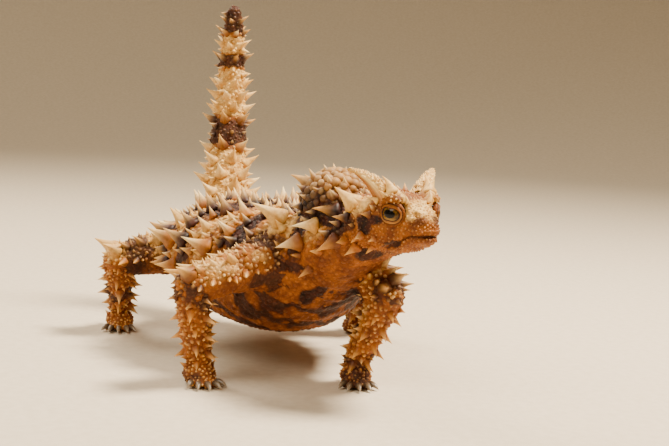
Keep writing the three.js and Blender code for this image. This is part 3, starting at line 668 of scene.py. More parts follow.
def marks(points):
    """The markings at points of the hide: shares of cream and maroon, and of orange. On the belly and other
    undersides the orange is painted shade warmed by bounce light, and one maroon patch is painted shade in
    the crease between arm and body.
    """
    points = np.asarray(points, float)
    index, u, angle = chart.place(points)
    x, y, z = points.T
    wander = noise(points, 7.0, 11)
    ragged = noise(points, 2.2, 13)
    upper = np.sin(angle)
    kinds = [index == k for k in (ON_TRUNK, ON_NECK, ON_HEAD, ON_TAIL)] + [index >= ON_LIMBS]

    band = np.sin(2 * np.pi * (x / 15.5 + 0.16 * upper) + 1.6 * wander + 0.7 * ragged)
    from_middle = y - np.interp(x, [row[0] for row in TRUNK], [row[1] for row in TRUNK])
    spine_line = bump(from_middle, 0, 1.7 + 0.6 * ragged) * (upper > 0.5)
    slant = np.sin(2 * np.pi * (x / 8.5 + 0.07 * z) + 3.4 * wander + 2.2 * ragged)
    trunk_maroon = np.where(upper > -0.25, step(0.0, 0.45, band), 0.9 * step(0.0, 0.7, slant))
    trunk_cream = np.maximum(0.75 * step(-0.45, -0.9, band) * step(-0.2, 0.35, upper), 0.7 * spine_line)

    stripe = np.sin(x * 1.15 - 0.5 * y + 2.0 * wander + 0.8 * ragged)
    neck_maroon = step(0.1, 0.55, stripe) * (0.15 + 0.85 * step(-0.4, 0.1, upper))
    neck_cream = 0.6 * step(-0.35, -0.85, stripe) * step(-0.1, 0.4, upper)

    ring = np.interp(z, *zip(*TAIL_RINGS)) + 0.25 * wander + 0.15 * ragged
    rise = limb_rises(points, index, u)
    hoop = np.sin(2 * np.pi * (u * 1.9 + 0.13 * index) + 1.5 * wander + 0.9 * ragged)
    limb_maroon = 0.85 * step(0.45, 0.8, hoop)
    limb_cream = 0.55 * step(-0.2, -0.9, hoop) * step(-0.1, 0.5, rise)
    leg_cream = 0.6 * step(-0.1, 0.4, rise) * (index >= ON_LEGS)
    none = np.zeros(len(points))
    tones = {
        "cream": np.select(kinds, [trunk_cream, neck_cream, none, 0.8 * step(0.1, 0.6, ring),
                                   np.maximum(limb_cream, leg_cream)]),
        "maroon": np.select(kinds, [trunk_maroon, neck_maroon, none, 0.9 * step(-0.1, -0.6, ring),
                                    limb_maroon]),
    }
    patched(np.stack([x, from_middle, z], -1), BODY_PATCHES, ragged, tones)
    local = to_head(points)
    on_head = index == ON_HEAD
    tones = {key: np.where(on_head, 0, tone) for key, tone in tones.items()}
    patched(local, HEAD_PATCHES, ragged, tones)
    cream, maroon = tones["cream"], tones["maroon"]
    in_mouth = (np.abs(local[:, 2] - mouth_height(local[:, 0])) < 0.22) & (local[:, 0] > MOUTH_BACK)
    maroon = np.where(on_head & in_mouth, 0.85, maroon)

    on_hump = (away_from(points, HUMP_AT, HUMP_SIZE) < 1.25) & (z > HUMP_AT[2] - 3)
    over_hump = z - HUMP_AT[2] + 1.5 * wander
    maroon = np.where(on_hump, 0.3 + 0.7 * step(4.0, 0.5, over_hump), maroon)
    cream = np.where(on_hump, 0.3 * step(2.5, 6.0, over_hump), cream)

    # Orange: a base share on head, tail and limbs, and more where the hide faces down. That extra share is
    # painted shade warmed by bounce light.
    orange = np.select(kinds, [
        step(0.25, -0.5, upper), step(0.45, -0.2, upper), 0.5 + 0.5 * step(1.5, -3.0, local[:, 2]),
        0.15 + none, 0.35 + 0.6 * step(0.5, -0.2, rise)])
    return {"cream": cream * (1 - maroon), "maroon": maroon, "orange": orange}


def store(made, values):
    for name, value in values.items():
        layer = made.data.attributes.new(name, "FLOAT", "POINT")
        layer.data.foreach_set("value", np.asarray(value, np.float32))


# Thorns and scales

class Thorns:
    """A list of thorns, each with a root, tip, radius, and the way that it bends."""

    def __init__(self):
        self.roots, self.tips, self.radii, self.bends, self.feet, self.nodes = [], [], [], [], [], []

    def add(self, foot, ahead, length, radius, bend=(0, 0, 0), node="", sink=SPINE_SINK):
        self.roots.append(foot - ahead * sink)
        self.tips.append(foot + ahead * length)
        self.feet.append(foot)
        self.radii.append(radius)
        self.bends.append(bend)
        self.nodes.append(node)

    def only(self, chosen):
        """The same list with just the thorns whose numbers are chosen."""
        fewer = Thorns()
        for name, values in vars(self).items():
            setattr(fewer, name, [values[i] for i in chosen])
        return fewer

    def arrays(self):
        return map(np.array, (self.roots, self.tips, self.radii, self.bends))


def apart(root_a, tip_a, root_b, tip_b):
    """The least distance between two straight thorns."""
    along = np.linspace(0, 1, 7)[:, None]
    p = root_a + (tip_a - root_a) * along
    line = tip_b - root_b
    t = np.clip((p - root_b) @ line / (line @ line), 0, 1)[:, None]
    return np.linalg.norm(root_b + line * t - p, axis=1).min()


def plant(thorns, node, form, u, angle, length, radius, lean=0.5, back=None):
    """Sets one thorn on a form, leaning from the surface's normal towards back."""
    foot, normal = form.point(u, angle), form.normal(u, angle)
    tailward = form.tailward(u) if back is None else back
    ahead = unit(normal + np.asarray(tailward) * lean)
    root, tip = foot - ahead * SPINE_SINK, foot + ahead * length
    if tip[2] < FLOOR_ROOM or foot[2] < radius + FLOOR_ROOM:
        return
    for k, other in enumerate(thorns.nodes):
        if other != node:
            reach = radius + thorns.radii[k] + GAP
            if apart(root, tip, thorns.roots[k], thorns.tips[k]) < reach:
                return
    thorns.add(foot, ahead, length, radius, bend=normal * 0.08 * length, node=node)


def at_trunk_x(x):
    low, high = 0.0, 1.0
    for _ in range(20):
        middle = (low + high) / 2
        if trunk.section(middle)[0][0] < x:
            low = middle
        else:
            high = middle
    return low


def tail_node(u):
    return ("tail_base", "tail_middle", "tail_tip")[int(u >= TAIL_CUTS[0]) + int(u >= TAIL_CUTS[1])]


def main_thorns():
    """The thorns of the solids, at the same places."""
    draw, thorns = Draw(SEED), Thorns()
    for side in (1, -1):
        x, angle, length, radius, lean, out = SHOULDER_THORN
        turn = math.radians(mirrored(angle, side))
        plant(thorns, "torso", trunk, at_trunk_x(x), turn, length, radius, lean, on_side(out, side))
    for angle, length, radius, spacing, start, end in TRUNK_ROWS:
        for side in (1, -1):
            x = start + 2 * draw()
            while x < end:
                size = draw.vary(0.18)
                turn = mirrored(angle, side) + TRUNK_ANGLE_JITTER * (draw() - 0.5)
                plant(thorns, "torso", trunk, at_trunk_x(x), math.radians(turn),
                      length * size, radius * size, 0.55, (-1, 0, 0.15))
                x += spacing * draw.vary(0.12)
    for u, angle, length in NECK_THORNS:
        for side in (1, -1):
            turn = math.radians(mirrored(angle, side))
            plant(thorns, "neck", neck, u, turn, length * draw.vary(0.1), NECK_SLENDER * length,
                  NECK_LEAN, on_side(NECK_OUT, side))
    for u, angle, length, radius, lean in HEAD_THORNS:
        for side in (1, -1):
            turn = math.radians(mirrored(angle, side))
            plant(thorns, "head", head, u, turn, length, radius, lean)
    tail_length = sum(math.dist(a[:3], b[:3]) for a, b in zip(TAIL, TAIL[1:]))
    for i in range(TAIL_WHORLS):
        u = 0.17 + 0.8 * i / TAIL_WHORLS
        if min(abs(seam - u) for seam in TAIL_CUTS) < 1.1 / tail_length:
            continue
        thick = tail.section(u)[3][0]
        for j in range(TAIL_THORNS):
            turn = math.radians(360 * (j + 0.5 * (i % 2)) / TAIL_THORNS)
            plant(thorns, tail_node(u), tail, u, turn, (1.3 + 0.52 * thick) * draw.vary(0.15),
                  0.3 + 0.22 * thick, -0.45)
    for limb, pair in limbs.items():
        for k, form in enumerate(pair):
            low, high, lean, least_rise = LIMB_SPANS[k]
            for row, angle in enumerate(LIMB_ROWS):
                for i in range(4):
                    u = low + (high - low) * (i + 0.5 * (row % 2)) / 3.5
                    rise = form.normal(u, math.radians(angle))[2]
                    if rise < least_rise:
                        continue
                    gain = 1.4 * (1.35 if i == 3 else 1) if k == 0 and rise > 0.3 else 1
                    length = (2.2 if limb.startswith("front") else 2.4) * gain * draw.vary(0.25)
                    turn = math.radians(angle + 10 * (draw() - 0.5))
                    plant(thorns, f"{limb}_{k}", form, u, turn, length, 0.28 * length + 0.2, lean)
    return thorns


# Outlines of thorns, scales and claws: share of the way to the tip, share of the radius
THORN_PROFILE = [(0.0, 0.4), (0.05, 0.95), (0.11, 1.16), (0.19, 1.06), (0.3, 0.78), (0.44, 0.54),
                 (0.6, 0.34), (0.78, 0.17), (0.92, 0.07)]
SCALE_PROFILE = [(0.0, 1.1), (0.45, 0.82), (0.8, 0.36)]
CLAW_PROFILE = [(0.0, 1.0), (0.2, 1.0), (0.45, 0.85), (0.7, 0.6), (0.88, 0.32), (0.96, 0.15)]
KEELS = 5  # ridges that run up a thorn


def cones(thorns, profile, sides, keel=0.0):
    """Points, triangles, share of the way to the tip, and owner of each point, for many thorns."""
    roots, tips, radii, bends = thorns.arrays()
    along = tips - roots
    ahead = unit(along)
    side = np.where(np.abs(ahead[:, 2:3]) < 0.9, (0.0, 0, 1), (1.0, 0, 0))
    left = unit(np.cross(side, ahead))
    above = np.cross(ahead, left)
    turn = around(sides)
    ridge = 1 + keel * np.cos(KEELS * turn)
    rings = []
    for share, size in profile:
        middle = roots + along * share + bends * math.sin(math.pi * share)
        radius = (radii * size)[:, None, None] * ridge[None, :, None]
        ring = middle[:, None] + radius * (
            left[:, None] * np.cos(turn)[None, :, None] + above[:, None] * np.sin(turn)[None, :, None])
        rings.append(ring)
    count, levels = len(roots), len(profile)
    points = np.concatenate([np.stack(rings, 1).reshape(count, -1, 3), tips[:, None]], 1)
    each = levels * sides + 1
    grid = tube_triangles(levels, sides, closed=False)
    top = (levels - 1) * sides
    j = np.arange(sides)
    fan = np.stack([np.full(sides, each - 1), top + j, top + (j + 1) % sides], -1)
    pattern = np.vstack([grid, fan])
    triangles = (pattern[None] + (np.arange(count) * each)[:, None, None]).reshape(-1, 3)
    shares = np.repeat([share for share, _ in profile], sides)
    tip_share = np.tile(np.concatenate([shares, [1.0]]), count)
    return points.reshape(-1, 3), triangles, tip_share, np.repeat(np.arange(count), each)


def bake_map(made, feet, owner, points):
    """Gives each thorn a small patch of the bake map, at the place of its root on the hide."""
    centre = chart.unwrap(feet)[owner]
    local = points - feet[owner]
    reach = np.maximum(np.bincount(owner, np.linalg.norm(local, axis=1)) / np.bincount(owner), 0.1)
    spread = local[:, :2] + 0.37 * local[:, 2:3]
    uv = centre + np.clip(spread / (3 * reach[owner, None]), -1, 1) * BAKE_PATCH / 2
    layer = made.data.uv_layers.new(name="OFBake")
    corner = np.zeros(len(made.data.loops), np.int32)
    made.data.loops.foreach_get("vertex_index", corner)
    layer.data.foreach_set("uv", uv[corner].astype(np.float32).ravel())


def coat_piece(name, thorns, profile, sides, keel=0.0, tip_gain=1.0, dim=0.0, **tones):
    """One joined mesh of many thorns or scales inside the solids' box, marked as the hide is at
    each root. dim is how much dark hide dulls the tips, and tones replace the hide's markings."""
    gains = np.broadcast_to(tip_gain, len(thorns.feet))
    points, _, _, owner = cones(thorns, profile, sides, keel)
    outside = np.any((points < BOX_LOW) | (points > BOX_HIGH), axis=1)
    inside = np.setdiff1d(np.arange(len(thorns.feet)), owner[outside])
    thorns, gains = thorns.only(inside), gains[inside]
    points, triangles, share, owner = cones(thorns, profile, sides, keel)
    made = mesh_object(name, points, triangles)
    feet = np.array(thorns.feet)
    shown = marks(feet)
    shown.update({key: np.full(len(feet), value) for key, value in tones.items()})
    gains = gains * (1 - dim * shown["maroon"])
    values = {key: value[owner] for key, value in shown.items()}
    buried = SPINE_SINK / (SPINE_SINK + TYPICAL_THORN)
    values["tip"] = np.clip((share - buried) / (1 - buried), 0, 1) * gains[owner]
    values["vary"] = np.random.default_rng(SEED + len(feet)).random(len(feet))[owner]
    store(made, values)
    bake_map(made, feet, owner, points)
    return made


CELL = 0.5  # width of the boxes in which neighbours are looked up


def scattered(points, triangles, spacing_at, count, seed):
    """Spots spread over the hide, no two nearer than the spacing there, with the hide's normals."""
    rng = np.random.default_rng(seed)
    a, b, c = (points[triangles[:, k]] for k in range(3))
    area = np.linalg.norm(np.cross(b - a, c - a), axis=1)
    pick = rng.choice(len(triangles), count, p=area / area.sum())
    s, t = np.sqrt(rng.random(count)), rng.random(count)
    weights = np.stack([1 - s, s * (1 - t), s * t], -1)[..., None]
    spots = (weights * points[triangles[pick]]).sum(1)
    normals = unit((weights * normals_of(points, triangles)[triangles[pick]]).sum(1))
    spacing = spacing_at(spots)
    grid, kept = {}, []
    for i, (spot, reach) in enumerate(zip(spots, spacing)):
        if reach <= 0:
            continue
        x, y, z = spot
        n = int(reach / CELL) + 1
        cell = [int(value // CELL) for value in spot]
        boxes = itertools.product(*(range(c - n, c + n + 1) for c in cell))
        if not any((q[0] - x) ** 2 + (q[1] - y) ** 2 + (q[2] - z) ** 2 < reach * reach
                   for box in boxes for q in grid.get(box, ())):
            grid.setdefault(tuple(cell), []).append((x, y, z))
            kept.append(i)
    return spots[kept], normals[kept], spacing[kept], rng


# How far apart granules and small thorns stand on trunk, neck, head, tail and limbs
SCALE_GAPS = (1.15, 1.0, 0.58, 0.9, 0.9)
SMALL_THORN_GAPS = (3.1, 2.8, 2.2, 2.3, 1.75)
SCALE_TRIES, SMALL_THORN_TRIES = 130000, 40000


def by_part(values, index):
    return np.take(values, np.minimum(index, ON_LIMBS))


def on_upper_limb(index):
    return (index >= ON_LIMBS) & (index % 2 == 0)


def scale_spacing(spots):
    """How far apart the granules stand: closest on the face and feet."""
    local = to_head(spots)
    index, _, _ = chart.place(spots)
    on_head = index == ON_HEAD
    spacing = by_part(SCALE_GAPS, index)
    spacing = np.where(on_head & (local[:, 0] > 2.2) & (local[:, 2] > 0), 0.52, spacing)
    spacing = np.where(spots[:, 2] < 5.0, 0.7, spacing)
    for side in (1, -1):
        spacing = np.where(away_from(local, on_side(EYE_AT, side)) < EYE_RADIUS + 0.45, 0, spacing)
    line = np.abs(local[:, 2] - mouth_height(local[:, 0]))
    spacing = np.where((line < 0.3) & (local[:, 0] > MOUTH_BACK) & on_head, 0, spacing)
    return np.where(spots[:, 2] < 0.35, 0, spacing)


def small_thorn_spacing(spots):
    """Small thorns stand between the main ones, on back, flanks, limbs and tail, not underneath."""
    index, u, angle = chart.place(spots)
    upper, rise = np.sin(angle), limb_rises(spots, index, u)
    limb = on_upper_limb(index)
    spacing = by_part(SMALL_THORN_GAPS, index)
    spacing = np.where(limb & (u > 0.42) & (rise > 0.1), 1.5, spacing)
    spacing = np.where((index == ON_TRUNK) & (upper < 0.1), 3.6, spacing)
    bare = ((index <= ON_NECK) & (upper < -0.2)) | (limb & (rise < -0.1))
    face = (index == ON_HEAD) & ((to_head(spots)[:, 0] > -1.5) | (upper < -0.45))
    return np.where(bare | face | (spots[:, 2] < 3.2), 0, spacing)


def scale_looks(spots, index, u, angle):
    """How high the granules stand, as a share of their spacing, and how pale their tips are."""
    x, _, z = to_head(spots).T
    belly = (index <= ON_NECK) & (np.sin(angle) < -0.15)
    under = belly | (on_upper_limb(index) & (limb_rises(spots, index, u) < -0.1))
    on_head = index == ON_HEAD
    where = [on_head & (x > 2.0) & (z > 0.2), spots[:, 2] < 4.5, under, on_head, index >= ON_LIMBS]
    return (np.select(where, [0.6, 0.4, 0.14, 0.42, 0.4], 0.34),
            np.select(where, [1.0, 0.9, 0.05, 0.22, 0.55], 0.2))


def make_coat(points, triangles):
    main = main_thorns()
    pieces = [coat_piece("main_thorns", main, THORN_PROFILE, 15, keel=0.07)]

    spots, normals, spacing, rng = scattered(points, triangles, small_thorn_spacing,
                                             SMALL_THORN_TRIES, SEED + 1)
    small = Thorns()
    main_feet, main_radii = np.array(main.feet), np.array(main.radii)
    for spot, normal, size in zip(spots, normals, spacing):
        room = np.linalg.norm(main_feet - spot, axis=1) - main_radii
        if room.min() < 0.4:
            continue
        length = size * (0.45 + 0.5 * rng.random())
        ahead = unit(normal + np.array((-0.45, 0, 0.1)) + 0.1 * rng.standard_normal(3))
        small.add(spot, ahead, length, 0.26 + 0.24 * length, normal * 0.1 * length, sink=0.4)
    pieces.append(coat_piece("small_thorns", small, THORN_PROFILE, 9, keel=0.05, tip_gain=0.9))

    spots, normals, spacing, rng = scattered(points, triangles, scale_spacing, SCALE_TRIES, SEED + 2)
    index, u, angle = chart.place(spots)
    heights, pales = scale_looks(spots, index, u, angle)
    groups = {"trunk_scales": (ON_TRUNK,), "head_scales": (ON_NECK, ON_HEAD),
              "limb_scales": range(ON_LIMBS, len(FORMS)), "tail_scales": (ON_TAIL,)}
    big_feet = np.vstack([main_feet, np.array(small.feet)])
    big_radii = np.concatenate([main_radii, np.array(small.radii)])
    near = tree_of(big_feet)
    for name, members in groups.items():
        scales, gains = Thorns(), []
        for spot, normal, size, part, height, pale in zip(spots, normals, spacing, index, heights, pales):
            if part not in members:
                continue
            _, i, distance = near.find(spot)
            if distance < big_radii[i] * 0.8:
                continue
            vary = 0.8 + 0.4 * rng.random()
            ahead = unit(normal + np.array((-0.25, 0, 0)) + 0.12 * rng.standard_normal(3))
            scales.add(spot, ahead, size * height * vary, size * 0.5 * vary, sink=0.2)
            gains.append(pale * (0.4 + 1.2 * rng.random() ** 2))
        pieces.append(coat_piece(name, scales, SCALE_PROFILE, 7, tip_gain=np.array(gains), dim=0.8))
    return pieces


# Hump, horns, eyes, lids and claws

# The thorn on each side of the hump: turn and rise of its root and tip, and how far the tip stands out
HUMP_ROOT, HUMP_TIP, HUMP_OUT = (105, 30), (112, 38), (-2.4, 3.4, 1.2)
KNOB_COUNT = 120
KNOB_PROFILE = [(0.0, 1.0), (0.3, 1.02), (0.55, 0.95), (0.75, 0.78), (0.9, 0.5), (0.97, 0.24)]


def hump_point(turn, rise, out=1.0):
    """A point of the hump, from its turn and rise in radians and its share of the way out."""
    flat = math.cos(rise) * out
    on = np.array((flat * math.cos(turn), flat * math.sin(turn), math.sin(rise) * out))
    return on * HUMP_SIZE + HUMP_AT


def make_hump_thorns():
    pair = Thorns()
    for side in (1, -1):
        root, tip = (
            hump_point(math.radians(turn * side), math.radians(rise), out)
            for (turn, rise), out in ((HUMP_ROOT, 0.6), (HUMP_TIP, 1.0)))
        tip = tip + on_side(HUMP_OUT, side)
        ahead = unit(tip - root)
        pair.add(root, ahead, np.linalg.norm(tip - root), HUMP_THORN, (0, 0, 0.6), sink=0)
    return coat_piece("hump_thorns", pair, THORN_PROFILE, 18, keel=0.06)


def make_hump_knobs():
    """Rounded knobs, close together, all over the hump, largest at its top."""
    knobs = Thorns()
    rng = np.random.default_rng(SEED + 3)
    for i in range(KNOB_COUNT):
        share = (i + 0.5) / KNOB_COUNT
        rise = math.asin(1 - share * 1.25)
        turn = i * math.pi * (3 - math.sqrt(5))
        size = (1.12 - 0.45 * share) * (0.8 + 0.4 * rng.random())
        foot = hump_point(turn, rise, 0.98)
        ahead = unit((foot - HUMP_AT) / np.square(HUMP_SIZE))
        knobs.add(foot, ahead, size * 0.85, size, sink=0.5)
    gains = np.linspace(0.24, 0.02, KNOB_COUNT) * (0.5 + 0.7 * rng.random(KNOB_COUNT))
    return coat_piece("hump_knobs", knobs, KNOB_PROFILE, 14, tip_gain=gains)


# Leaf-like spines in a comb over each brow: root and tip in the head's frame, radius
BROW_COMB = [
    ((0.9, 4.3, 4.2), (-0.9, 5.2, 8.0), 1.4),
    ((1.7, 3.9, 4.0), (0.5, 4.4, 6.6), 1.0),
    ((2.3, 3.6, 3.7), (1.7, 4.0, 5.7), 0.8),
    ((2.8, 3.2, 3.3), (2.6, 3.5, 5.0), 0.65),
    ((3.3, 2.8, 3.1), (3.4, 3.1, 4.3), 0.45),
    ((0.4, 5.6, 3.9), (-0.2, 6.9, 5.4), 0.6),
    ((1.4, 5.4, 3.6), (1.2, 6.5, 4.7), 0.5),
    ((-1.0, 6.6, 3.3), (-2.0, 8.1, 4.0), 0.6),
]

HORN_SIDES, HORN_LEVELS, HORN_RIDGES = 48, 30, 9
HORN_TRIES = 620


def make_horn(name, side):
    """A broad, bent horn with a ridged sheath, and scales up its inner side and over the brow."""
    base, tip = from_head(on_side(HORN_BASE, side)), from_head(on_side(HORN_TIP, side))
    bend = HEAD_TURN @ np.array(on_side(HORN_BEND, side))
    along = tip - base
    ahead = unit(along)
    left = unit(np.cross((0, 0, 1), ahead))
    above = np.cross(ahead, left)
    s = np.linspace(0, 0.985, HORN_LEVELS)
    turn = around(HORN_SIDES)
    radius = HORN_RADIUS * np.interp(s, *HORN_TAPER)
    ridge = 1 + 0.04 * np.cos(HORN_RIDGES * turn) + 0.1 * np.maximum(np.cos(2 * turn), 0)
    middle = base + along * s[:, None] + bend * np.sin(np.pi * s)[:, None]
    ring = radius[:, None, None] * (ridge / ridge.max())[None, :, None] * (
        left * np.cos(turn)[:, None] + 0.82 * above * np.sin(turn)[:, None])[None]
    points, triangles = tube(middle[:, None] + ring)
    made = mesh_object(f"horn_{name}_sheath", points, triangles)
    # The horn's underside is marked for painted shade, stored in the orange share.
    beneath, ridge = (
        np.concatenate([np.tile(values, HORN_LEVELS), [0, 0]])
        for values in (step(0.0, -0.7, np.sin(turn)), turn))
    share = np.concatenate([np.repeat(s, HORN_SIDES), [0, 1]])
    store(made, {"tip": share, "orange": beneath, "ridge": ridge})

    scales = Thorns()
    rng = np.random.default_rng(SEED + 4 + side)
    inward = unit(HEAD_TURN @ np.array((0.8, -side, 0.2)))
    for _ in range(HORN_TRIES):
        share = rng.random() - 0.02
        angle = 2 * np.pi * rng.random()
        out = left * math.cos(angle) + above * math.sin(angle)
        if out @ inward < 0.3:
            continue
        thick = HORN_RADIUS * np.interp(share, *HORN_TAPER) * 0.9
        foot = base + along * share + bend * math.sin(math.pi * share) + out * thick
        size = 0.36 * (0.8 + 0.6 * rng.random())
        scales.add(foot, unit(out + ahead * 0.6), size, size, sink=0.2)
    granules = len(scales.feet)
    for root, end, size in BROW_COMB:
        root, end = from_head(on_side(root, side)), from_head(on_side(end, side))
        leaf = end - root
        back = HEAD_TURN @ np.array((0.12, 0, 0.1)) * np.linalg.norm(leaf)
        scales.add(root, unit(leaf), np.linalg.norm(leaf), size, back, sink=0.5)
    gains = np.repeat((1.0, 0.9), (granules, len(BROW_COMB)))
    clump = coat_piece(f"horn_{name}_scales", scales, THORN_PROFILE, 10, keel=0.06, tip_gain=gains,
                       maroon=0, orange=0, cream=1)
    return made, clump


def eye_axes(side):
    """The way the eye looks, and its forward and upward directions, tilted as its corners lie."""
    axis = unit(np.array(on_side(EYE_AXIS, side)))
    forward = unit(np.array((1.0, 0, 0)) - axis * axis[0])
    above = np.cross(axis, forward) * -side
    tilt = math.radians(EYE_TILT)
    return (axis, forward * math.cos(tilt) - above * math.sin(tilt),
            above * math.cos(tilt) + forward * math.sin(tilt))


EYE_SIDES, EYE_RINGS = 96, 64
PUPIL = (0.5, 0.34)  # half width and half height, as shares of the eye's radius


def make_eye(name, side):
    polar = np.linspace(0.02, np.pi - 0.02, EYE_RINGS)[:, None]
    turn = around(EYE_SIDES)[None, :]
    out = np.cos(polar) + 0 * turn
    wide, high = np.sin(polar) * np.cos(turn), np.sin(polar) * np.sin(turn)
    axis, forward, above = eye_axes(side)
    local = out[..., None] * axis + wide[..., None] * forward + high[..., None] * above
    points, triangles = tube(from_head(local * EYE_RADIUS + on_side(EYE_AT, side)))
    if side > 0:
        triangles = triangles[:, ::-1]
    made = mesh_object(f"eyeball_{name}", points, triangles)
    wide, high = (np.concatenate([v.ravel(), [0, 0]]) for v in (wide, high))
    behind = 2 * (np.concatenate([out.ravel(), [1, -1]]) < 0)
    store(made, {"pupil": np.sqrt((wide / PUPIL[0]) ** 2 + (high / PUPIL[1]) ** 2) + behind,
                 "iris": np.sqrt(wide**2 + high**2) + behind, "height": high})
    return made


# How the lids run from the opening out under the skin: share of the way, height above the eyeball
LID_LEVELS = [(-0.02, -0.03), (0.0, 0.1), (0.04, 0.22), (0.1, 0.31), (0.18, 0.34), (0.26, 0.28), (0.33, 0.16),
              (0.38, 0.18), (0.46, 0.36), (0.58, 0.42), (0.72, 0.3), (0.86, 0.0), (1.0, -0.4)]

# Degrees from the eye's axis to the rim of the upper and lower lid and to the corners, and to the
# lids' outer edge
LID_UPPER, LID_LOWER, LID_CORNER, LID_OUTER = 25, 31, 52, 88


def make_lids(name, side):
    """Lids round an almond opening, thick at their rim, with a dark fold behind them."""
    axis, forward, above = eye_axes(side)
    turn = around(EYE_SIDES)
    narrow = np.where(np.sin(turn) > 0, LID_UPPER, LID_LOWER)
    opening = np.radians(narrow + (LID_CORNER - narrow) * np.cos(turn) ** 2)
    rings = []
    for share, lift in LID_LEVELS:
        polar = opening + share * (np.radians(LID_OUTER) - opening)
        wrinkle = 0.03 * np.sin(14 * turn + 9 * share) * (share > 0.1)
        local = (np.cos(polar)[:, None] * axis + (np.sin(polar) * np.cos(turn))[:, None] * forward
                 + (np.sin(polar) * np.sin(turn))[:, None] * above) * (EYE_RADIUS + lift + wrinkle)[:, None]
        rings.append(from_head(local + on_side(EYE_AT, side)))
    points = np.stack(rings).reshape(-1, 3)
    grid = tube_triangles(len(LID_LEVELS), EYE_SIDES, closed=False)
    corner = points[grid[0]]
    facing = np.cross(corner[1] - corner[0], corner[2] - corner[0])
    if facing @ (corner[0] - from_head(on_side(EYE_AT, side))) < 0:
        grid = grid[:, ::-1]
    made = mesh_object(f"eyelids_{name}", points, grid)
    share = np.repeat([s for s, _ in LID_LEVELS], EYE_SIDES)
    lower = np.tile(step(0.3, -0.3, np.sin(turn)), len(LID_LEVELS))
    store(made, {"maroon": np.maximum(step(0.06, 0.0, share), 0.95 * bump(share, 0.35, 0.07)),
                 "cream": (0.05 + 0.2 * lower) * step(0.34, 0.2, share) * step(0.0, 0.08, share),
                 "orange": np.full(len(share), 0.9)})
    return made


def make_claws():
    """Curved claws at the toes' ends, their tips near the ground."""
    claws = Thorns()
    for spec in LIMBS.values():
        for out, rows in foot_layout(spec)[2]:
            root = np.array((*rows[-1][:2], CLAW_HEIGHT)) - out * 0.5
            tip = np.array((*rows[-1][:2], CLAW_TIP)) + out * CLAW_LENGTH
            claws.add(root, unit(tip - root), np.linalg.norm(tip - root), CLAW_RADIUS, (0, 0, 0.3), sink=0)
    points, triangles, share, _ = cones(claws, CLAW_PROFILE, 14)
    made = mesh_object("claws", points, triangles)
    store(made, {"tip": share})
    return made


# Finishes

PER_METRE = 1000.0  # a pattern of size d mm has scale PER_METRE / d
RGBA = {"data_type": "RGBA"}
DARKEN = {"data_type": "RGBA", "blend_type": "MULTIPLY"}
# The hide's tones from the ground tone up: marking, size of its mottling in mm, deep and light colour
HIDE_TONES = [
    (None, 3.4, "#6f3a08", "#a8681a"),
    # The orange tone also serves as painted shade, warmed by bounce light, on the belly and undersides.
    ("orange", 2.6, "#6b3202", "#9a5404"),
    ("cream", 1.8, "#c08a38", "#ecc478"),
    ("maroon", 1.6, "#1c0702", "#3f1706"),
]


def linear(code):
    """A linear colour from an sRGB hex value."""
    parts = [int(code[k : k + 2], 16) / 255 for k in (1, 3, 5)]
    return tuple(c / 12.92 if c <= 0.04045 else ((c + 0.055) / 1.055) ** 2.4 for c in parts) + (1.0,)


def add(tree, kind, settings=None, **inputs):
    """Adds a node, sets its properties and sockets, and links sockets given as outputs. A colour
    is given as a hex value."""
    made = tree.nodes.new(kind)
    for key, value in (settings or {}).items():
        setattr(made, key, value)
    for key, value in inputs.items():
        socket = made.inputs[int(key[1:])] if key[0] == "i" and key[1:].isdigit() else made.inputs[key]
        if isinstance(value, bpy.types.NodeSocket):
            tree.links.new(value, socket)
        else:
            socket.default_value = linear(value) if isinstance(value, str) else value
    return made


def new_finish(name, roughness, carried=(), **sockets):
    """A finish, its tree and shader, the object's coordinates, and the values its meshes carry."""
    finish = bpy.data.materials.new(name)
    finish.use_nodes = True
    tree = finish.node_tree
    shader = tree.nodes["Principled BSDF"]
    shader.inputs["Roughness"].default_value = roughness
    for key, value in sockets.items():
        shader.inputs[key.replace("_", " ")].default_value = value
    place = add(tree, "ShaderNodeTexCoord").outputs["Object"]
    values = [add(tree, "ShaderNodeAttribute", {"attribute_name": key}).outputs["Fac"] for key in carried]
    return finish, tree, shader, place, *values


def layered(tree, colour, *layers):
    """Lays tones over a colour. A layer is a value, where on it the tone starts and where it is
    fullest, how much it covers there, and the tone."""
    for value, start, full, most, tone in layers:
        cover = add(tree, "ShaderNodeMapRange", i0=value, i1=start, i2=full, i4=most).outputs[0]
        colour = add(tree, "ShaderNodeMix", RGBA, i0=cover, i6=colour, i7=tone).outputs[2]
    return colour


def surfaced(tree, shader, colour, pattern, shades, relief=None):
    """Ends a finish. A pattern shades the colour: shades are two of its values and the shade at
    each. A relief is a height, its strength and its depth in mm."""
    low, high, first, last = shades
    shade = add(tree, "ShaderNodeMapRange", i0=pattern, i1=low, i2=high, i3=first, i4=last).outputs[0]
    colour = add(tree, "ShaderNodeMix", DARKEN, i0=1.0, i6=colour, i7=shade).outputs[2]
    tree.links.new(colour, shader.inputs["Base Color"])
    if relief:
        height, strength, depth = relief
        raised = add(tree, "ShaderNodeBump", Strength=strength, Distance=depth * MM, Height=height)
        tree.links.new(raised.outputs["Normal"], shader.inputs["Normal"])


def hide_colour(tree, place):
    """The hide's colour from its markings, broken up as fine scales break it up."""
    colour = None
    for marking, size, deep, light in HIDE_TONES:
        mottle = add(tree, "ShaderNodeTexNoise", Vector=place, Scale=PER_METRE / size).outputs["Fac"]
        tone = layered(tree, deep, (mottle, 0.35, 0.65, 1.0, light))
        if marking:
            share = add(tree, "ShaderNodeAttribute", {"attribute_name": marking}).outputs["Fac"]
            tone = add(tree, "ShaderNodeMix", RGBA, i0=share, i6=colour, i7=tone).outputs[2]
        colour = tone
    return colour


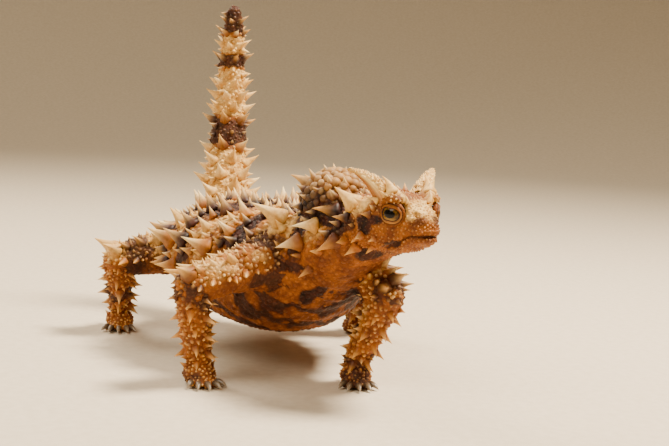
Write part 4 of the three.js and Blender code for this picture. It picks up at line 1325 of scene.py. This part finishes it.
def hide_finish():
    """Lizard skin: dry keratin scales over loose hide. Dull, with a soft sheen on raised grains, and painted
    shade in the crevices between them.
    """
    finish, tree, shader, place = new_finish("lizard_hide", 0.65, Specular_IOR_Level=0.25)
    grain_and_crevice_shade = add(tree, "ShaderNodeTexVoronoi", Vector=place, Scale=PER_METRE / 0.5).outputs["Distance"]
    height = add(tree, "ShaderNodeMapRange", i0=grain_and_crevice_shade, i1=0.0, i2=0.8, i3=1.0, i4=0.0).outputs[0]
    # Darker towards the edges of the grains: painted shade in the crevices between them.
    surfaced(tree, shader, hide_colour(tree, place), grain_and_crevice_shade, (0.2, 0.75, 1.0, 0.68), (height, 0.6, 0.12))
    return finish


def scale_finish():
    """Granules and thorns: worn keratin, the hide's colour at the root and paler to the tip."""
    finish, tree, shader, place, tip, maroon, orange, vary = new_finish(
        "keratin_scales", 0.55, ("tip", "maroon", "orange", "vary"), Specular_IOR_Level=0.3)
    # Where the orange share is high, as on the belly and undersides, the tips turn orange; there it is
    # painted shade warmed by bounce light.
    worn = layered(
        tree, "#dcaa58", (vary, 0.0, 1.0, 1.0, "#f6dca0"), (orange, 0.2, 1.0, 0.6, "#cf861c"),
        (maroon, 0.0, 1.0, 0.45, "#a8682c"))
    colour = layered(tree, hide_colour(tree, place), (tip, 0.0, 0.6, 0.95, worn))
    streak = add(tree, "ShaderNodeTexNoise", Vector=place, Scale=PER_METRE / 0.5, Detail=4.0).outputs["Fac"]
    surfaced(tree, shader, colour, streak, (0.3, 0.7, 0.84, 1.06), (streak, 0.3, 0.07))
    return finish


def horn_finish():
    """Horn sheath: layered keratin, cream with fine lengthwise streaks, and orange-brown beneath as painted
    shade.
    """
    finish, tree, shader, place, tip, beneath, ridge = new_finish(
        "horn_keratin", 0.42, ("tip", "orange", "ridge"), Specular_IOR_Level=0.45)
    # Orange-brown beneath: painted shade on the horn's underside.
    colour = layered(
        tree, "#a86414", (tip, 0.05, 0.4, 1.0, "#eac67a"), (beneath, 0.0, 1.0, 1.0, "#96540a"),
        (tip, 0.86, 0.97, 1.0, "#4a2812"))
    streak = add(tree, "ShaderNodeTexNoise", {"noise_dimensions": "1D"}, W=ridge, Scale=7.0, Detail=3.0)
    layers = add(tree, "ShaderNodeTexNoise", Vector=place, Scale=PER_METRE / 0.7, Detail=4.0).outputs["Fac"]
    surfaced(tree, shader, colour, streak.outputs["Fac"], (0.3, 0.7, 0.74, 1.08), (layers, 0.35, 0.08))
    return finish


def claw_finish():
    """Claws: dense, polished keratin, grey-brown and paler at the tip, with a clear glint."""
    finish, tree, shader, place, tip = new_finish("claw_keratin", 0.28, ("tip",), Specular_IOR_Level=0.55)
    colour = layered(tree, "#4d3a2a", (tip, 0.2, 0.9, 1.0, "#93816a"))
    worn = add(tree, "ShaderNodeTexNoise", Vector=place, Scale=PER_METRE / 0.6, Detail=3.0).outputs["Fac"]
    surfaced(tree, shader, colour, worn, (0.3, 0.7, 0.8, 1.08))
    return finish


def eye_finish():
    """A wet lizard eye: black oval pupil, olive-gold iris paler below, dark towards the lids."""
    finish, tree, shader, place, pupil, iris, height = new_finish(
        "wet_eye", 0.08, ("pupil", "iris", "height"), Specular_IOR_Level=0.2, Coat_Weight=0.04,
        Coat_Roughness=0.03)
    fleck = add(tree, "ShaderNodeTexNoise", Vector=place, Scale=PER_METRE / 0.25, Detail=4.0).outputs["Fac"]
    gold = layered(
        tree, "#3c2606", (fleck, 0.35, 0.65, 1.0, "#6b4a14"), (height, -0.2, -0.45, 1.0, "#8f6a2c"),
        (iris, 0.6, 0.76, 1.0, "#2a1608"))
    colour = layered(tree, "#030304", (pupil, 0.92, 1.1, 1.0, gold))
    tree.links.new(colour, shader.inputs["Base Color"])
    return finish


# The set: camera, lights and floor

# The camera was fitted to the photo: focal length and width in pixels, place, heading, and the
# degrees that it looks down and is rolled
FOCAL_PX, WIDE_PX = 1356.5, 669
SENSOR = 36.0
CAMERA_AT = (282.1, -82.6, 62.88)
LOOK = (-0.9455, 0.3256, 0.0)
PITCH, ROLL = 6.454, 3.29
# Lights: name, place, width in m, power in W, colour
LIGHTS = [
    ("key", (40, 190, 400), 0.12, 7.0, (1.0, 0.88, 0.7)),
    ("rim", (-260, -120, 300), 0.2, 1.4, (1.0, 0.9, 0.74)),
    ("fill", (190, -260, 330), 0.3, 1.5, (1.0, 0.9, 0.74)),
]
LIGHTS_AIM = (0, 0, 30)
SKY, SKY_STRENGTH = "#ecd9bc", 0.34
BOWL_FLAT, BOWL_RISE, BOWL_TOP = 600.0, 500.0, 900.0
BOWL_SIDES, BOWL_STEPS = 96, 24


def make_camera():
    look, up = unit(np.array(LOOK)), np.array((0.0, 0, 1))
    right = np.cross(look, up)
    pitch, roll = math.radians(PITCH), math.radians(ROLL)
    ahead = look * math.cos(pitch) - up * math.sin(pitch)
    above = look * math.sin(pitch) + up * math.cos(pitch)
    right, above = (right * math.cos(roll) + above * math.sin(roll),
                    above * math.cos(roll) - right * math.sin(roll))
    data = bpy.data.cameras.new("camera")
    data.sensor_width = SENSOR
    data.lens = SENSOR * FOCAL_PX / WIDE_PX
    data.clip_start, data.clip_end = 0.005, 20
    camera = placed("camera", data)
    turn = np.eye(4)
    turn[:3, 0], turn[:3, 1], turn[:3, 2] = right, above, -ahead
    turn[:3, 3] = (np.array(CAMERA_AT) + SHIFT) * MM
    camera.matrix_world = Matrix(turn.tolist())
    bpy.context.scene.camera = camera


def make_light(name, at, size, power, colour):
    data = bpy.data.lights.new(name, "AREA")
    data.shape, data.size, data.energy, data.color = "DISK", size, power, colour
    light = placed(name, data)
    place, target = Vector(at) * MM, Vector(LIGHTS_AIM) * MM
    light.location = place
    light.rotation_euler = (target - place).to_track_quat("-Z", "Y").to_euler()


def make_bowl():
    """A seamless sweep of backdrop paper: a flat floor that curves up all round."""
    bend = np.linspace(0, np.pi / 2, BOWL_STEPS)
    curve = BOWL_FLAT + BOWL_RISE * np.sin(bend)
    radii = np.concatenate([[1.0, BOWL_FLAT / 2], curve, [BOWL_FLAT + BOWL_RISE]])
    heights = np.concatenate([[0, 0], BOWL_RISE * (1 - np.cos(bend)), [BOWL_TOP]])
    turn = around(BOWL_SIDES)
    rings = np.stack([radii[:, None] * np.cos(turn), radii[:, None] * np.sin(turn),
                      heights[:, None] + 0 * turn], -1)
    triangles = tube_triangles(len(radii), BOWL_SIDES, closed=False)[:, ::-1]
    j = np.arange(BOWL_SIDES)
    middle = np.stack([np.full(BOWL_SIDES, rings[..., 0].size), j, np.roll(j, -1)], -1)
    points = np.vstack([rings.reshape(-1, 3), [(0, 0, 0)]])
    return mesh_object("floor", points - SHIFT, np.vstack([triangles, middle]))


def make_set():
    for light in LIGHTS:
        make_light(*light)
    world = bpy.data.worlds.new("studio")
    world.use_nodes = True
    sky = world.node_tree.nodes["Background"]
    sky.inputs["Color"].default_value = linear(SKY)
    sky.inputs["Strength"].default_value = SKY_STRENGTH
    bpy.context.scene.world = world

    floor = make_bowl()
    finish, tree, shader, place = new_finish("matt_backdrop_paper", 0.85)
    fibre = add(tree, "ShaderNodeTexNoise", Vector=place, Scale=PER_METRE / 2.0, Detail=5.0).outputs["Fac"]
    colour = layered(tree, "#cdbea6", (fibre, 0.3, 0.7, 1.0, "#d6c8b2"))
    tree.links.new(colour, shader.inputs["Base Color"])
    floor.data.materials.append(finish)


def dress(made, finish, slot_name, *nodes):
    made.data.materials.append(finish)
    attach(made, "root")
    if nodes:
        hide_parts(*nodes)


make_camera()
skin_points, skin_triangles = make_skin()
skin = mesh_object("skin", skin_points, skin_triangles)
store(skin, marks(skin_points))
hide, scale_keratin = hide_finish(), scale_finish()
dress(skin, hide, "skin", *FLESH)
for piece in make_coat(skin_points, skin_triangles):
    dress(piece, scale_keratin, "skin")
dress(make_hump_thorns(), scale_keratin, "skin")
dress(make_hump_knobs(), scale_keratin, "skin")
horn_keratin, wet_eye = horn_finish(), eye_finish()
for name, side in (("right", -1), ("left", 1)):
    sheath, clump = make_horn(name, side)
    dress(sheath, horn_keratin, "horn", f"horn_{name}")
    dress(clump, scale_keratin, "skin")
    dress(make_eye(name, side), wet_eye, "eye", f"eye_{name}")
    dress(make_lids(name, side), hide, "skin")
dress(make_claws(), claw_finish(), "horn")
make_set()
